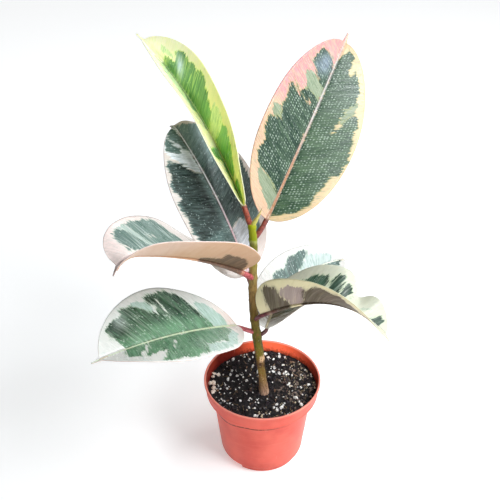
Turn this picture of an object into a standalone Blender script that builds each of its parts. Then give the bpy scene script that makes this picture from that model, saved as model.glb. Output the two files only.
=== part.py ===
"""Potted rubber plant: a young variegated plant with seven leaves in a plastic nursery pot.

Metres, +Z up. The origin is the middle of the pot's underside, where it stands.
-Y is the side that the plant is looked at from. Lengths below are millimetres, angles degrees.
"""
import math

import bpy
import bmesh
import numpy as np
from mathutils import Matrix, Vector

MM = 0.001
GAP = 0.3                       # clearance between pieces that touch
SPARE = 0.35                    # the same on a faceted round, so that its flats keep the gap too

# ---- pot -------------------------------------------------------------------------------------
POT_HEIGHT = 84.0
RIM_RADIUS = 52.5               # a 10.5 cm nursery pot
COLLAR_HEIGHT = 13.0            # the straight band under the rim
COLLAR_TAPER = 2.1              # how much narrower its lower edge is
COLLAR_STEP = 5.2               # from the collar's lower edge in to the body
STEP_DROP = 0.6                 # how far that step slopes down
RIM_ROUND = 0.9                 # radius of the rim's outer edge
LIP_HEIGHT = 2.2                # the small bead round the top of the collar
LIP_OUT = 0.3
WALL = 1.2
MOUTH_BEVEL = 0.5               # the wall widens by this to the flat of the rim
BODY_FOOT_RADIUS = 38.2
BASE_RADIUS = 36.2
BASE_CHAMFER = 3.5              # height of the rounded edge round the base
BASE_BULGE = 0.6                # how far that edge is drawn in half way
FOOT_HEIGHT = 4.5
FOOT_OUTER = 35.2
FOOT_INNER = 29.4
FOOT_DRAFT = 0.5                # the feet and the boss taper by this, to leave the mould
FOOT_NOTCHES = 3
FOOT_NOTCH_TURN = -17.5         # bearing of the first notch
FOOT_NOTCH_WIDTH = 19.0
FOOT_NOTCH_SPARE = 2.0          # the notch runs past the foot ring by this on each side
FOOT_NOTCH_BITE = 0.15          # and this far into the underside
BOSS_RADIUS = 8.0
POT_STEPS = 64
DRAIN_HOLES = 8
DRAIN_RADIUS = 2.9
DRAIN_CIRCLE = 20.0
DRAIN_SIDES = 16

# ---- soil ------------------------------------------------------------------------------------
SOIL_EDGE_DEPTH = 10.0          # below the rim, at the wall
SOIL_CROWN = 1.8                # how much higher the middle is
SOIL_STEPS = 48
SOIL_RINGS = 6

# ---- stem ------------------------------------------------------------------------------------
# the middle line from inside the soil to the growing tip, leaning back and to the left
STEM_LINE = [
    (2.9, -9.8, 60.0),
    (1.7, -9.0, 74.0),
    (-2.3, -7.0, 114.0),
    (-5.5, -5.7, 140.0),
    (-8.0, -4.4, 163.0),
    (-8.7, -3.3, 185.0),
    (-8.2, -1.7, 216.0),
    (-8.4, -1.0, 230.0),
    (-9.8, -0.2, 246.0),
]
STEM_FOOT_RADIUS = 4.1
STEM_TOP_RADIUS = 3.1
STEM_TAPER = 1.3                # above 1, most of the taper is near the top
NODE_SWELL = 0.45               # the ring that each leaf leaves round the stem
NODE_WIDTH = 1.8
STEM_POINTS = 44
SCAR_HEIGHT = 113.0             # where a lower leaf has fallen

# ---- bud sheath ------------------------------------------------------------------------------
BUD_LINE = [(-9.3, -0.3, 244.5), (-6.5, -0.6, 249.5), (-4.4, -0.9, 253.7), (-1.3, -1.2, 261.3)]
BUD_FOOT_RADIUS = 2.1
BUD_TIP_RADIUS = 0.4
BUD_POINTS = 12

# ---- leaves, from the soil up ------------------------------------------------------------------
BLADE_ROWS = 20
BLADE_HALF_COLUMNS = 3
BLADE_THICKNESS = 0.7
MIDRIB_STEPS = 240
STALK_POINTS = 8
KEEL_POINTS = 12
STALK_RADIUS = 2.1
STALK_FLARE = 0.5               # how much fatter the stalk is where it leaves the stem
STALK_SAG = 15.0                # it leaves the stem this much flatter than it climbs
KEEL_TIP_RADIUS = 0.5
KEEL_END = 0.97                 # share of the blade's length that the midrib's back runs along
KEEL_COVER = 0.15               # blade left above the midrib's back

# Headings turn from +X towards +Y. A pitch is the climb of the midrib, a roll lifts the blade's
# right-hand side, and a fold lifts both halves from the midrib. `half_width` is at the widest place.
LEAF_DEFAULTS = {
    "bend": 1.4,                # how late along the blade its pitch changes
    "drop": 0.0,                # extra turn of the tip, past `drop_from`
    "drop_from": 0.7,
    "fold_end": 0.8,            # the fold at the tip as a share of the fold at the base
    "curl": -5.0,               # extra turn of each half between midrib and margin
    "widest": 0.48,
    "blunt": (0.5, 0.58),       # outline exponents towards base and tip
    "tip": 0.08,                # share of the length taken by the drip tip
    "kink": (0.0, 0.7, 0.07),   # local unfolding of the left half: angle, place, length
    "stalk_radius": STALK_RADIUS,
}
LEAVES = [
    {
        "node": 136.0, "stalk": (11.0, 20.0, 40.0), "stalk_radius": 1.7,
        "length": 138.0, "half_width": 29.0,
        "heading": (75.0, 29.0), "pitch": (11.0, -16.0), "bend": 1.5, "roll": (6.0, -34.0),
        "fold": 19.0, "blunt": (0.5, 0.6),
    },
    {
        "node": 141.0, "stalk": (22.0, -156.0, 36.0), "stalk_radius": 1.8,
        "length": 159.0, "half_width": 43.0,
        "heading": (233.0, 224.0), "pitch": (30.0, 7.0), "roll": (20.0, 6.0),
        "fold": 22.0, "fold_end": 0.9, "widest": 0.54, "blunt": (0.7, 0.7),
    },
    {
        "node": 154.0, "stalk": (14.0, -53.0, 53.0), "stalk_radius": 1.7,
        "length": 124.0, "half_width": 36.0,
        "heading": (-21.0, -14.0), "pitch": (34.0, -88.0), "bend": 2.1, "drop": 25.0,
        "roll": (36.0, -2.0), "fold": 57.0, "fold_end": 0.3, "curl": 5.0,
        "blunt": (0.5, 0.7), "kink": (35.0, 0.7, 0.07),
    },
    {
        "node": 185.0, "stalk": (17.5, 103.0, 20.0),
        "length": 140.5, "half_width": 42.5,
        "heading": (154.0, 149.0), "pitch": (69.0, 48.0), "drop": -60.0, "drop_from": 0.94,
        "roll": (12.0, 12.0), "fold": 8.0, "blunt": (0.45, 0.5), "tip": 0.04,
    },
    {
        "node": 196.0, "stalk": (20.5, -128.0, 48.0), "stalk_radius": 2.3,
        "length": 150.0, "half_width": 43.0,
        "heading": (239.0, 216.0), "pitch": (39.0, 16.0), "bend": 1.6,
        "drop": -75.0, "drop_from": 0.82, "roll": (-8.0, -9.0),
        "fold": 21.5, "fold_end": 1.5, "curl": 0.0, "widest": 0.6, "blunt": (0.4, 0.42),
    },
    {
        "node": 232.0, "stalk": (19.5, 33.0, 47.0),
        "length": 168.0, "half_width": 42.0,
        "heading": (54.0, 58.0), "pitch": (45.0, 44.0), "roll": (-40.0, -50.0),
        "fold": 20.0, "blunt": (0.55, 0.55),
    },
    {
        "node": 243.0, "stalk": (19.0, 146.0, 66.0),
        "length": 169.0, "half_width": 32.0,
        "heading": (122.0, 141.0), "pitch": (46.0, 28.0), "roll": (26.0, 12.0),
        "fold": 76.0, "fold_end": 0.6, "curl": 5.0, "widest": 0.52, "blunt": (0.35, 0.65),
    },
]


# ---- scene helpers -----------------------------------------------------------------------------
def clear_scene():
    for old in list(bpy.data.objects):
        bpy.data.objects.remove(old, do_unlink=True)


def make_collection(name):
    collection = bpy.data.collections.new(name)
    bpy.context.scene.collection.children.link(collection)
    return collection


def make_material(name, colour, roughness):
    material = bpy.data.materials.new(name)
    material.use_nodes = True
    shader = material.node_tree.nodes["Principled BSDF"]
    shader.inputs["Base Color"].default_value = (*colour, 1.0)
    shader.inputs["Roughness"].default_value = roughness
    material.diffuse_color = (*colour, 1.0)
    return material


def add_object(name, data, collection, material=None):
    thing = bpy.data.objects.new(name, data)
    collection.objects.link(thing)
    if material:
        data.materials.append(material)
    return thing


def hide_cutter(thing):
    thing.hide_render = True
    thing.display_type = "WIRE"


def move_to(thing, collection):
    for holder in list(thing.users_collection):
        holder.objects.unlink(thing)
    collection.objects.link(thing)


def shade_round(mesh, sharp_from=35.0):
    mesh.shade_smooth()
    mesh.set_sharp_from_angle(angle=math.radians(sharp_from))


def set_origin(thing, place, parent):
    """Moves the object's origin to a place in millimetres, leaving its shape where it is."""
    corner = Vector(place) * MM
    thing.data.transform(Matrix.Translation(-corner))
    thing.location = corner
    thing.parent = parent


def boolean(thing, other, operation):
    modifier = thing.modifiers.new(other.name, "BOOLEAN")
    modifier.operation = operation
    modifier.object = other
    modifier.solver = "EXACT"


def turned(name, profile, steps, collection, material):
    """A profile of (radius, height) points, outer side from top to bottom, turned round Z."""
    mesh = bpy.data.meshes.new(name)
    points = [(r * MM, 0.0, z * MM) for r, z in profile]
    edges = [(i, i + 1) for i in range(len(points) - 1)]
    mesh.from_pydata(points, edges, [])
    thing = add_object(name, mesh, collection, material)
    screw = thing.modifiers.new("Turn", "SCREW")
    screw.steps = steps
    screw.render_steps = steps
    screw.use_merge_vertices = True
    screw.merge_threshold = 0.00001
    screw.use_smooth_shade = True
    return thing


def tube(name, points, radii, collection, resolution=2):
    """A closed tube along (x, y, z) points with a radius at each, as a mesh with welded caps."""
    curve = bpy.data.curves.new(name, "CURVE")
    curve.dimensions = "3D"
    curve.bevel_depth = MM
    curve.bevel_resolution = resolution
    curve.use_fill_caps = True
    spline = curve.splines.new("POLY")
    spline.points.add(len(points) - 1)
    for control, place, radius in zip(spline.points, points, radii):
        control.co = (*(c * MM for c in place), 1.0)
        control.radius = radius
    path = add_object(name + "_path", curve, collection)
    bpy.context.view_layer.update()
    evaluated = path.evaluated_get(bpy.context.evaluated_depsgraph_get())
    mesh = bpy.data.meshes.new_from_object(evaluated)
    mesh.name = name
    weld = bmesh.new()
    weld.from_mesh(mesh)
    bmesh.ops.remove_doubles(weld, verts=weld.verts, dist=0.00001)
    weld.to_mesh(mesh)
    weld.free()
    thing = bpy.data.objects.new(name, mesh)
    thing.matrix_world = path.matrix_world
    collection.objects.link(thing)
    bpy.data.objects.remove(path, do_unlink=True)
    return thing


def smooth_line(waypoints, count):
    """`count` points on a Catmull-Rom curve through the waypoints."""
    ways = [Vector(p) for p in waypoints]
    ways = [2 * ways[0] - ways[1]] + ways + [2 * ways[-1] - ways[-2]]
    spans = len(waypoints) - 1
    line = []
    for i in range(count):
        place = i / (count - 1) * spans
        k = min(int(place), spans - 1)
        u = place - k
        p0, p1, p2, p3 = ways[k:k + 4]
        line.append(0.5 * (2 * p1 + (p2 - p0) * u + (2 * p0 - 5 * p1 + 4 * p2 - p3) * u ** 2
                           + (3 * p1 - p0 - 3 * p2 + p3) * u ** 3))
    return line


def hermite(start, start_way, end, end_way, u):
    """A point at share u of a smooth path that leaves along one way and arrives along the other."""
    return ((2 * u ** 3 - 3 * u ** 2 + 1) * start + (u ** 3 - 2 * u ** 2 + u) * start_way
            + (3 * u ** 2 - 2 * u ** 3) * end + (u ** 3 - u ** 2) * end_way)


def smooth_step(x):
    x = min(max(x, 0.0), 1.0)
    return x * x * (3 - 2 * x)


def direction(heading, climb):
    h = math.radians(heading)
    c = math.radians(climb)
    return Vector((math.cos(c) * math.cos(h), math.cos(c) * math.sin(h), math.sin(c)))


# ---- pot ---------------------------------------------------------------------------------------
def rim_edge():
    """The rounded outer edge of the rim, from its flat down to its side."""
    middle = (RIM_RADIUS - RIM_ROUND, POT_HEIGHT - RIM_ROUND)
    return [(middle[0] + RIM_ROUND * math.cos(math.radians(angle)),
             middle[1] + RIM_ROUND * math.sin(math.radians(angle))) for angle in (90, 45, 0)]


def pot_outside():
    """(radius, height) from the rim down to the edge of the base."""
    collar_foot = POT_HEIGHT - COLLAR_HEIGHT
    collar_radius = RIM_RADIUS - COLLAR_TAPER
    return rim_edge() + [
        (RIM_RADIUS - LIP_OUT, POT_HEIGHT - LIP_HEIGHT),
        (collar_radius, collar_foot),
        (collar_radius - COLLAR_STEP, collar_foot - STEP_DROP),
        (BODY_FOOT_RADIUS, FOOT_HEIGHT + BASE_CHAMFER),
        (BODY_FOOT_RADIUS - BASE_BULGE, FOOT_HEIGHT + BASE_CHAMFER * 0.4),
        (BASE_RADIUS, FOOT_HEIGHT),
    ]


def pot_inside():
    """(radius, height) from the middle of the floor up to the rim's flat."""
    collar_foot = POT_HEIGHT - COLLAR_HEIGHT
    collar_radius = RIM_RADIUS - COLLAR_TAPER
    floor = FOOT_HEIGHT + WALL
    mouth = RIM_RADIUS - RIM_ROUND - MOUTH_BEVEL
    return [
        (0.0, floor),
        (BASE_RADIUS - WALL, floor),
        (BODY_FOOT_RADIUS - WALL, FOOT_HEIGHT + BASE_CHAMFER),
        (collar_radius - COLLAR_STEP - WALL, collar_foot - STEP_DROP + WALL),
        (collar_radius - WALL, collar_foot + WALL),
        (mouth - MOUTH_BEVEL, POT_HEIGHT - MOUTH_BEVEL),
        (mouth, POT_HEIGHT),
    ]


def pot_underside():
    """(radius, height) from the outside of the foot ring to the middle of the boss."""
    return [
        (FOOT_OUTER, FOOT_HEIGHT),
        (FOOT_OUTER - FOOT_DRAFT, 0.0),
        (FOOT_INNER + FOOT_DRAFT, 0.0),
        (FOOT_INNER, FOOT_HEIGHT),
        (BOSS_RADIUS + FOOT_DRAFT, FOOT_HEIGHT),
        (BOSS_RADIUS, 0.0),
        (0.0, 0.0),
    ]


def make_foot_notch(number, cutters):
    """A block across the foot ring; the notches leave three long feet, one of them in front."""
    angle = math.radians(FOOT_NOTCH_TURN + 360 / FOOT_NOTCHES * number)
    inner = FOOT_INNER - FOOT_NOTCH_SPARE
    outer = FOOT_OUTER + FOOT_NOTCH_SPARE
    middle = (inner + outer) / 2 * MM
    bpy.ops.mesh.primitive_cube_add(size=1.0)
    notch = bpy.context.object
    notch.name = f"foot_notch_{number}"
    notch.location = (middle * math.cos(angle), middle * math.sin(angle), 0.0)
    notch.rotation_euler = (0.0, 0.0, angle)
    depth = 2 * (FOOT_HEIGHT + FOOT_NOTCH_BITE)
    notch.scale = ((outer - inner) * MM, FOOT_NOTCH_WIDTH * MM, depth * MM)
    move_to(notch, cutters)
    hide_cutter(notch)
    return notch


def make_drain_drill(number, cutters):
    angle = math.radians(360 / DRAIN_HOLES * (number - 0.5))
    depth = 4 * (FOOT_HEIGHT + WALL) * MM
    bpy.ops.mesh.primitive_cylinder_add(vertices=DRAIN_SIDES, radius=DRAIN_RADIUS * MM, depth=depth)
    drill = bpy.context.object
    drill.name = f"drain_drill_{number}"
    drill.location = (DRAIN_CIRCLE * MM * math.cos(angle), DRAIN_CIRCLE * MM * math.sin(angle), 0.0)
    move_to(drill, cutters)
    hide_cutter(drill)
    return drill


def make_pot(parts, cutters, material):
    """Collar, tapering body, floor with drain holes, and three feet round a boss."""
    profile = pot_inside() + pot_outside() + pot_underside()
    pot = turned("pot", profile, POT_STEPS, parts, material)
    for number in range(1, FOOT_NOTCHES + 1):
        boolean(pot, make_foot_notch(number, cutters), "DIFFERENCE")
    for number in range(1, DRAIN_HOLES + 1):
        boolean(pot, make_drain_drill(number, cutters), "DIFFERENCE")
    return pot


# ---- stem --------------------------------------------------------------------------------------
def stem_path():
    return smooth_line(STEM_LINE, STEM_POINTS)


def stem_radius(height):
    """Tapers upwards, with a ring at each leaf's node and at the old scar."""
    foot, top = STEM_LINE[0][2], STEM_LINE[-1][2]
    climb = max(height - foot, 0.0) / (top - foot)
    radius = STEM_FOOT_RADIUS + (STEM_TOP_RADIUS - STEM_FOOT_RADIUS) * climb ** STEM_TAPER
    for ring in [leaf["node"] for leaf in LEAVES] + [SCAR_HEIGHT]:
        radius += NODE_SWELL * math.exp(-((height - ring) / NODE_WIDTH) ** 2)
    return radius


def stem_at(height):
    """The point of the stem's middle line at a height."""
    line = stem_path()
    for low, high in zip(line, line[1:]):
        if low.z <= height <= high.z:
            return low.lerp(high, (height - low.z) / (high.z - low.z))
    return line[-1].copy()


def make_stem(parts, plant, material):
    line = stem_path()
    stem = tube("stem", line, [stem_radius(p.z) for p in line], parts, resolution=4)
    stem.data.materials.append(material)
    shade_round(stem.data)
    set_origin(stem, line[0], plant)
    return stem


def make_stem_clearance(cutters):
    """The stem grown by the gap: it cuts the soil and the leaves' stalks clear of the stem."""
    line = stem_path()
    foot_way = (line[0] - line[1]).normalized()
    top_way = (line[-1] - line[-2]).normalized()
    line = [line[0] + foot_way * GAP] + line + [line[-1] + top_way * GAP]
    radii = [stem_radius(p.z) + SPARE for p in line]
    cutter = tube("stem_clearance", line, radii, cutters, resolution=4)
    hide_cutter(cutter)
    return cutter


def bud_tube(name, spare, collection):
    """The pointed sheath from inside the stem's top, `spare` fatter all round."""
    line = smooth_line(BUD_LINE, BUD_POINTS)
    radii = []
    for i in range(BUD_POINTS):
        u = i / (BUD_POINTS - 1)
        radii.append(spare + BUD_TIP_RADIUS + (BUD_FOOT_RADIUS - BUD_TIP_RADIUS) * (1 - u))
    return tube(name, line, radii, collection, resolution=3)


def make_bud(parts, plant, material, clearance):
    bud = bud_tube("bud_sheath", 0.0, parts)
    bud.data.materials.append(material)
    boolean(bud, clearance, "DIFFERENCE")
    shade_round(bud.data)
    set_origin(bud, BUD_LINE[0], plant)
    return bud


# ---- soil --------------------------------------------------------------------------------------
def make_soil(parts, material, clearance):
    """Fills the pot to just under the rim, gently crowned, with the hole that the stem stands in."""
    edge = POT_HEIGHT - SOIL_EDGE_DEPTH
    wall = [(r - SPARE, z + GAP) for r, z in pot_inside() if r > 0.0]
    covered = [point for point in wall if point[1] < edge]
    below = covered[-1]
    above = wall[len(covered)]
    share = (edge - below[1]) / (above[1] - below[1])
    edge_radius = below[0] + (above[0] - below[0]) * share
    crown = []
    for ring in range(SOIL_RINGS):
        out = ring / SOIL_RINGS
        crown.append((edge_radius * out, edge + SOIL_CROWN * (1 - out ** 2)))
    profile = crown + [(edge_radius, edge)] + covered[::-1] + [(0.0, covered[0][1])]
    soil = turned("soil", profile, SOIL_STEPS, parts, material)
    boolean(soil, clearance, "DIFFERENCE")
    return soil


# ---- leaves ------------------------------------------------------------------------------------
def midrib_angles(leaf, v):
    """Heading and pitch of the midrib, in radians, at share v of the blade's length."""
    late = max(v, 0.000001) ** leaf["bend"]
    pitch = leaf["pitch"][0] + (leaf["pitch"][1] - leaf["pitch"][0]) * late
    pitch += leaf["drop"] * smooth_step((v - leaf["drop_from"]) / (1 - leaf["drop_from"]))
    heading = leaf["heading"][0] + (leaf["heading"][1] - leaf["heading"][0]) * v
    return math.radians(heading), math.radians(pitch)


def midrib(leaf, base):
    """The midrib's points, MIDRIB_STEPS + 1 of them, from the base of the blade to its tip."""
    points = [np.array(base)]
    step = leaf["length"] / MIDRIB_STEPS
    for i in range(MIDRIB_STEPS):
        heading, pitch = midrib_angles(leaf, (i + 0.5) / MIDRIB_STEPS)
        way = (math.cos(pitch) * math.cos(heading), math.cos(pitch) * math.sin(heading), math.sin(pitch))
        points.append(points[-1] + step * np.array(way))
    return np.array(points)


def half_width(leaf, v):
    """Outline: an oval whose widest place can move, running out in a narrow drip tip."""
    tip = leaf["tip"]
    body = min(max(v / (1 - 0.6 * tip), 0.0), 1.0)
    s = body ** (math.log(0.5) / math.log(leaf["widest"]))
    blunt = leaf["blunt"][0] + (leaf["blunt"][1] - leaf["blunt"][0]) * s
    oval = max(4 * s * (1 - s), 0.0) ** blunt
    near_tip = smooth_step((v - (1 - 4 * tip)) / (3 * tip))
    tail = 0.07 * near_tip * min(max((1 - v) / tip, 0.0), 1.0) ** 0.8
    return leaf["half_width"] * math.hypot(oval, tail)


def blade_frame(leaf, rib, v):
    """Midrib point, direction, right-hand side and upper side of the blade at share v."""
    heading, pitch = midrib_angles(leaf, v)
    place = v * MIDRIB_STEPS
    k = min(int(place), MIDRIB_STEPS - 1)
    point = rib[k] + (rib[k + 1] - rib[k]) * (place - k)
    ahead = (math.cos(pitch) * math.cos(heading), math.cos(pitch) * math.sin(heading), math.sin(pitch))
    along = np.array(ahead)
    level = np.array((math.sin(heading), -math.cos(heading), 0.0))
    over = np.cross(level, along)
    roll = math.radians(leaf["roll"][0] + (leaf["roll"][1] - leaf["roll"][0]) * v)
    side = level * math.cos(roll) + over * math.sin(roll)
    up = over * math.cos(roll) - level * math.sin(roll)
    return point, along, side, up


def blade_point(leaf, rib, v, t):
    """A point of the blade: v runs from base to tip, t from the left margin (-1) to the right."""
    point, _, side, up = blade_frame(leaf, rib, v)
    out = abs(t) * max(half_width(leaf, v), BLADE_THICKNESS)
    fold = leaf["fold"] * (1 + (leaf["fold_end"] - 1) * v)
    if t < 0:
        angle, place, length = leaf["kink"]
        fold -= angle * math.exp(-((v - place) / length) ** 2)
    fold = math.radians(fold)
    turn = math.radians(leaf["curl"]) / leaf["half_width"]
    if turn:
        across = (math.sin(fold + turn * out) - math.sin(fold)) / turn
        rise = (math.cos(fold) - math.cos(fold + turn * out)) / turn
    else:
        across = out * math.cos(fold)
        rise = out * math.sin(fold)
    return point + math.copysign(across, t) * side + rise * up


def blade_base(leaf):
    reach, heading, climb = leaf["stalk"]
    return stem_at(leaf["node"]) + reach * direction(heading, climb)


def make_stalk(name, leaf, rib, cutters):
    """The round stalk from the stem's middle to the blade, going on as the back of the midrib."""
    base_point, base_along, _, base_up = blade_frame(leaf, rib, 0.0)
    radius = leaf["stalk_radius"]
    start = stem_at(leaf["node"])
    end = Vector(base_point - base_up * (radius + KEEL_COVER))
    reach = (end - start).length
    _, heading, climb = leaf["stalk"]
    start_way = direction(heading, climb - STALK_SAG) * reach
    end_way = Vector(base_along) * reach
    points = []
    radii = []
    for i in range(STALK_POINTS):
        u = i / STALK_POINTS
        points.append(hermite(start, start_way, end, end_way, u))
        radii.append(radius + STALK_FLARE * (1 - u) ** 2)
    for i in range(KEEL_POINTS):
        v = KEEL_END * i / (KEEL_POINTS - 1)
        point, _, _, up = blade_frame(leaf, rib, v)
        keel = KEEL_TIP_RADIUS + (radius - KEEL_TIP_RADIUS) * (1 - v) ** 2
        points.append(Vector(point - up * (keel + KEEL_COVER)))
        radii.append(keel)
    stalk = tube(name + "_stalk", points, radii, cutters)
    hide_cutter(stalk)
    return stalk


def make_leaf(number, numbers, parts, plant, cutters, material, clearances):
    """One leaf: the blade as a folded sheet, joined to its stalk and midrib."""
    leaf = {**LEAF_DEFAULTS, **numbers}
    name = f"leaf_{number}"
    rib = midrib(leaf, blade_base(leaf))
    columns = 2 * BLADE_HALF_COLUMNS
    bpy.ops.mesh.primitive_grid_add(x_subdivisions=columns, y_subdivisions=BLADE_ROWS, size=2.0)
    blade = bpy.context.object
    blade.name = name
    blade.data.name = name
    for vertex in blade.data.vertices:
        even = (vertex.co.y + 1) / 2
        v = 0.5 * even + 0.25 * (1 - math.cos(math.pi * even))
        vertex.co = blade_point(leaf, rib, v, vertex.co.x) * MM
    move_to(blade, parts)
    blade.data.materials.append(material)
    thick = blade.modifiers.new("Thickness", "SOLIDIFY")
    thick.thickness = BLADE_THICKNESS * MM
    thick.offset = -1.0
    stalk = make_stalk(name, leaf, rib, cutters)
    boolean(blade, stalk, "UNION")
    for clearance in clearances:
        boolean(blade, clearance, "DIFFERENCE")
    shade_round(blade.data)
    set_origin(blade, stem_at(leaf["node"]), plant)
    return blade


def main():
    clear_scene()
    parts = make_collection("potted_rubber_plant")
    cutters = make_collection("cutters")
    plastic = make_material("pot_plastic", (0.80, 0.20, 0.13), 0.45)
    earth = make_material("potting_mix", (0.03, 0.025, 0.022), 0.95)
    bark = make_material("stem_bark", (0.30, 0.26, 0.08), 0.6)
    bud_skin = make_material("bud_skin", (0.72, 0.75, 0.30), 0.4)
    leaf_skin = make_material("leaf_skin", (0.10, 0.24, 0.13), 0.3)
    plant = add_object("plant", None, parts)
    stem_clearance = make_stem_clearance(cutters)
    bud_clearance = bud_tube("bud_clearance", SPARE, cutters)
    hide_cutter(bud_clearance)
    make_pot(parts, cutters, plastic)
    make_soil(parts, earth, stem_clearance)
    make_stem(parts, plant, bark)
    make_bud(parts, plant, bud_skin, stem_clearance)
    for number, numbers in enumerate(LEAVES, start=1):
        make_leaf(number, numbers, parts, plant, cutters, leaf_skin, (bud_clearance, stem_clearance))


main()
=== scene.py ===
# %% [markdown]
# # A potted rubber plant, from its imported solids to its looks
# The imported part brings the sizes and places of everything: a pot, its soil, one stem, a bud and
# seven leaves. This lesson rebuilds each of them finer, with Blender's own operators where they
# suit and with vertices moved by a formula where nothing else gives a leaf its bend, and paints
# them with procedural materials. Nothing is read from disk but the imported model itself.

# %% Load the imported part
import math
import random

import bmesh
import bpy
import numpy as np
from mathutils import Matrix, Vector, noise

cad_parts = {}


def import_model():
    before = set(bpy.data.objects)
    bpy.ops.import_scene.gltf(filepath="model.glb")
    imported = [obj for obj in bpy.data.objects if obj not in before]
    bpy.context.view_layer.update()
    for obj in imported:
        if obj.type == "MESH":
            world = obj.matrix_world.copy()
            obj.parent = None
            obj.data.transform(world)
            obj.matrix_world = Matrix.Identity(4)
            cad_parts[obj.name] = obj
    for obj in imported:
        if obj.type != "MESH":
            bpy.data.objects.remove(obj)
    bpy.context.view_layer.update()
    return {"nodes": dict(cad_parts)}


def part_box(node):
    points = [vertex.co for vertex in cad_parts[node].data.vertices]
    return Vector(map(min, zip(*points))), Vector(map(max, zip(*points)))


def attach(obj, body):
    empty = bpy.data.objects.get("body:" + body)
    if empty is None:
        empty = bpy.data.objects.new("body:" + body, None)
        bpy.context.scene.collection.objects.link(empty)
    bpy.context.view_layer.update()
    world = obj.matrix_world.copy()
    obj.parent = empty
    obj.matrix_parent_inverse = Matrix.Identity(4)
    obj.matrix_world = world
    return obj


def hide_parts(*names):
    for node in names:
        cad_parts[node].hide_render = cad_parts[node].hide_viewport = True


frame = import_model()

MM = 0.001
print("nodes:", ", ".join(sorted(frame["nodes"])))

# %% [markdown]
# ## Small habits
# An operator acts on everything that is selected, and the imported nodes arrive selected. So each step
# first puts everything down and then picks up the one piece that it works on. A finished piece rides on
# the one rigid body and stands for its node.

# %% Put down, pick up, hand over
def put_down():
    bpy.ops.object.select_all(action="DESELECT")


def pick_up(piece):
    put_down()
    piece.select_set(True)
    bpy.context.view_layer.objects.active = piece


def apply_modifiers(piece):
    pick_up(piece)
    for modifier in list(piece.modifiers):
        bpy.ops.object.modifier_apply(modifier=modifier.name)


def settle(piece):
    """Puts the piece's place into its mesh, so that its object stands at the origin."""
    piece.data.transform(piece.matrix_world)
    piece.matrix_world = Matrix.Identity(4)


def join(pieces, name):
    """Joins pieces into the first one, which gets the name."""
    pick_up(pieces[0])
    for piece in pieces:
        piece.select_set(True)
    if len(pieces) > 1:
        bpy.ops.object.join()
    pieces[0].name = name
    pieces[0].data.name = name
    return pieces[0]


def hand_over(piece, slot, *nodes):
    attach(piece, "root")
    if nodes:
        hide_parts(*nodes)
    triangles = sum(len(face.vertices) - 2 for face in piece.data.polygons)
    print(f"{piece.name}: {triangles} triangles, stands for {', '.join(nodes) or 'nothing'}")


put_down()
print("put down, so nothing is selected:", not bpy.context.selected_objects)

# %% [markdown]
# ## Seeing the part
# The plant is looked at from a little above, so that the soil shows inside the rim. The camera
# circles a point in the middle of the plant: an elevation and a distance place it.

# %% Camera
VIEW_POINT = Vector((-11.0, 0.0, 221.2)) * MM
VIEW_ELEVATION = math.radians(33.28)
VIEW_DISTANCE = 645.9 * MM
LENS = 57.6


def make_camera():
    back = Vector((0.0, -math.cos(VIEW_ELEVATION), math.sin(VIEW_ELEVATION)))
    bpy.ops.object.camera_add(location=VIEW_POINT + back * VIEW_DISTANCE)
    camera = bpy.context.object
    camera.rotation_euler = (math.pi / 2 - VIEW_ELEVATION, 0.0, 0.0)
    camera.data.lens = LENS
    camera.data.sensor_width = 36.0
    camera.data.clip_start = 0.01
    bpy.context.scene.camera = camera
    return camera


camera = make_camera()
print("camera at, mm:", [round(c / MM) for c in camera.location])

# %% [markdown]
# ## Floor and light
# A plain white floor that glows a little more further out, and a pale sky all round for the soft
# light that leaves are seen in. The key softbox stands to the right of the camera and models the
# pot, a large one beyond it on the right gives the leaves their sheen, a small one high at the
# back lays glare on the drooping leaves, and a weak low one on the left keeps the shaded sides
# open. Three snoots, lamps behind a tube that narrows their beam, lift the pot's far inner wall,
# lay a haze on the tallest leaf and brighten the end of the newest one. A shader counts light, not
# what the eye makes of it, so a first helper turns a painter's 0 to 255 into light.

# %% Colours as a painter mixes them
def srgb(red, green, blue):
    """A colour from 0 to 255 a channel, as the linear values that a shader works with."""
    def linear(value):
        share = value / 255
        return share / 12.92 if share <= 0.04045 else ((share + 0.055) / 1.055) ** 2.4
    return (linear(red), linear(green), linear(blue), 1.0)


print("a middle grey in a shader:", round(srgb(128, 128, 128)[0], 3))

# %% The lights' places
SOFTBOXES = {
    "softbox_key": {"from": (128.0, 44.0), "away": 1.2, "size": 0.5, "watts": 12.5},
    "softbox_right": {"from": (78.0, 42.0), "away": 1.1, "size": 0.9, "watts": 5.5},
    "softbox_back": {"from": (54.0, 56.0), "away": 1.1, "size": 0.32, "watts": 3.0},
    "softbox_left": {"from": (-102.0, 10.0), "away": 1.2, "size": 0.26, "watts": 0.15},
}
SNOOTS = {
    "snoot_pot": {"from": (180.0, 33.3), "aim": (14.0, 49.0, 80.0), "away": 1.1, "wide": 3.4,
                  "size": 0.03, "watts": 60.0},
    "snoot_leaf": {"from": (96.0, 8.0), "aim": (45.0, 78.0, 343.0), "away": 1.1, "wide": 7.0,
                   "size": 0.08, "watts": 6.0},
    "snoot_new_leaf": {"from": (-138.0, 30.0), "aim": (-62.0, 72.0, 356.0), "away": 1.1,
                       "wide": 4.6, "size": 0.05, "watts": 16.0},
}
SKY_RIGHT = 0.46
SKY_LEFT = 0.03
GLOW_STARTS, GLOW_ENDS = 0.15, 1.1
GLOW_NEAR, GLOW_FAR = 0.44, 0.62
print("lights:", ", ".join(SOFTBOXES), ", ".join(SNOOTS))

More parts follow.
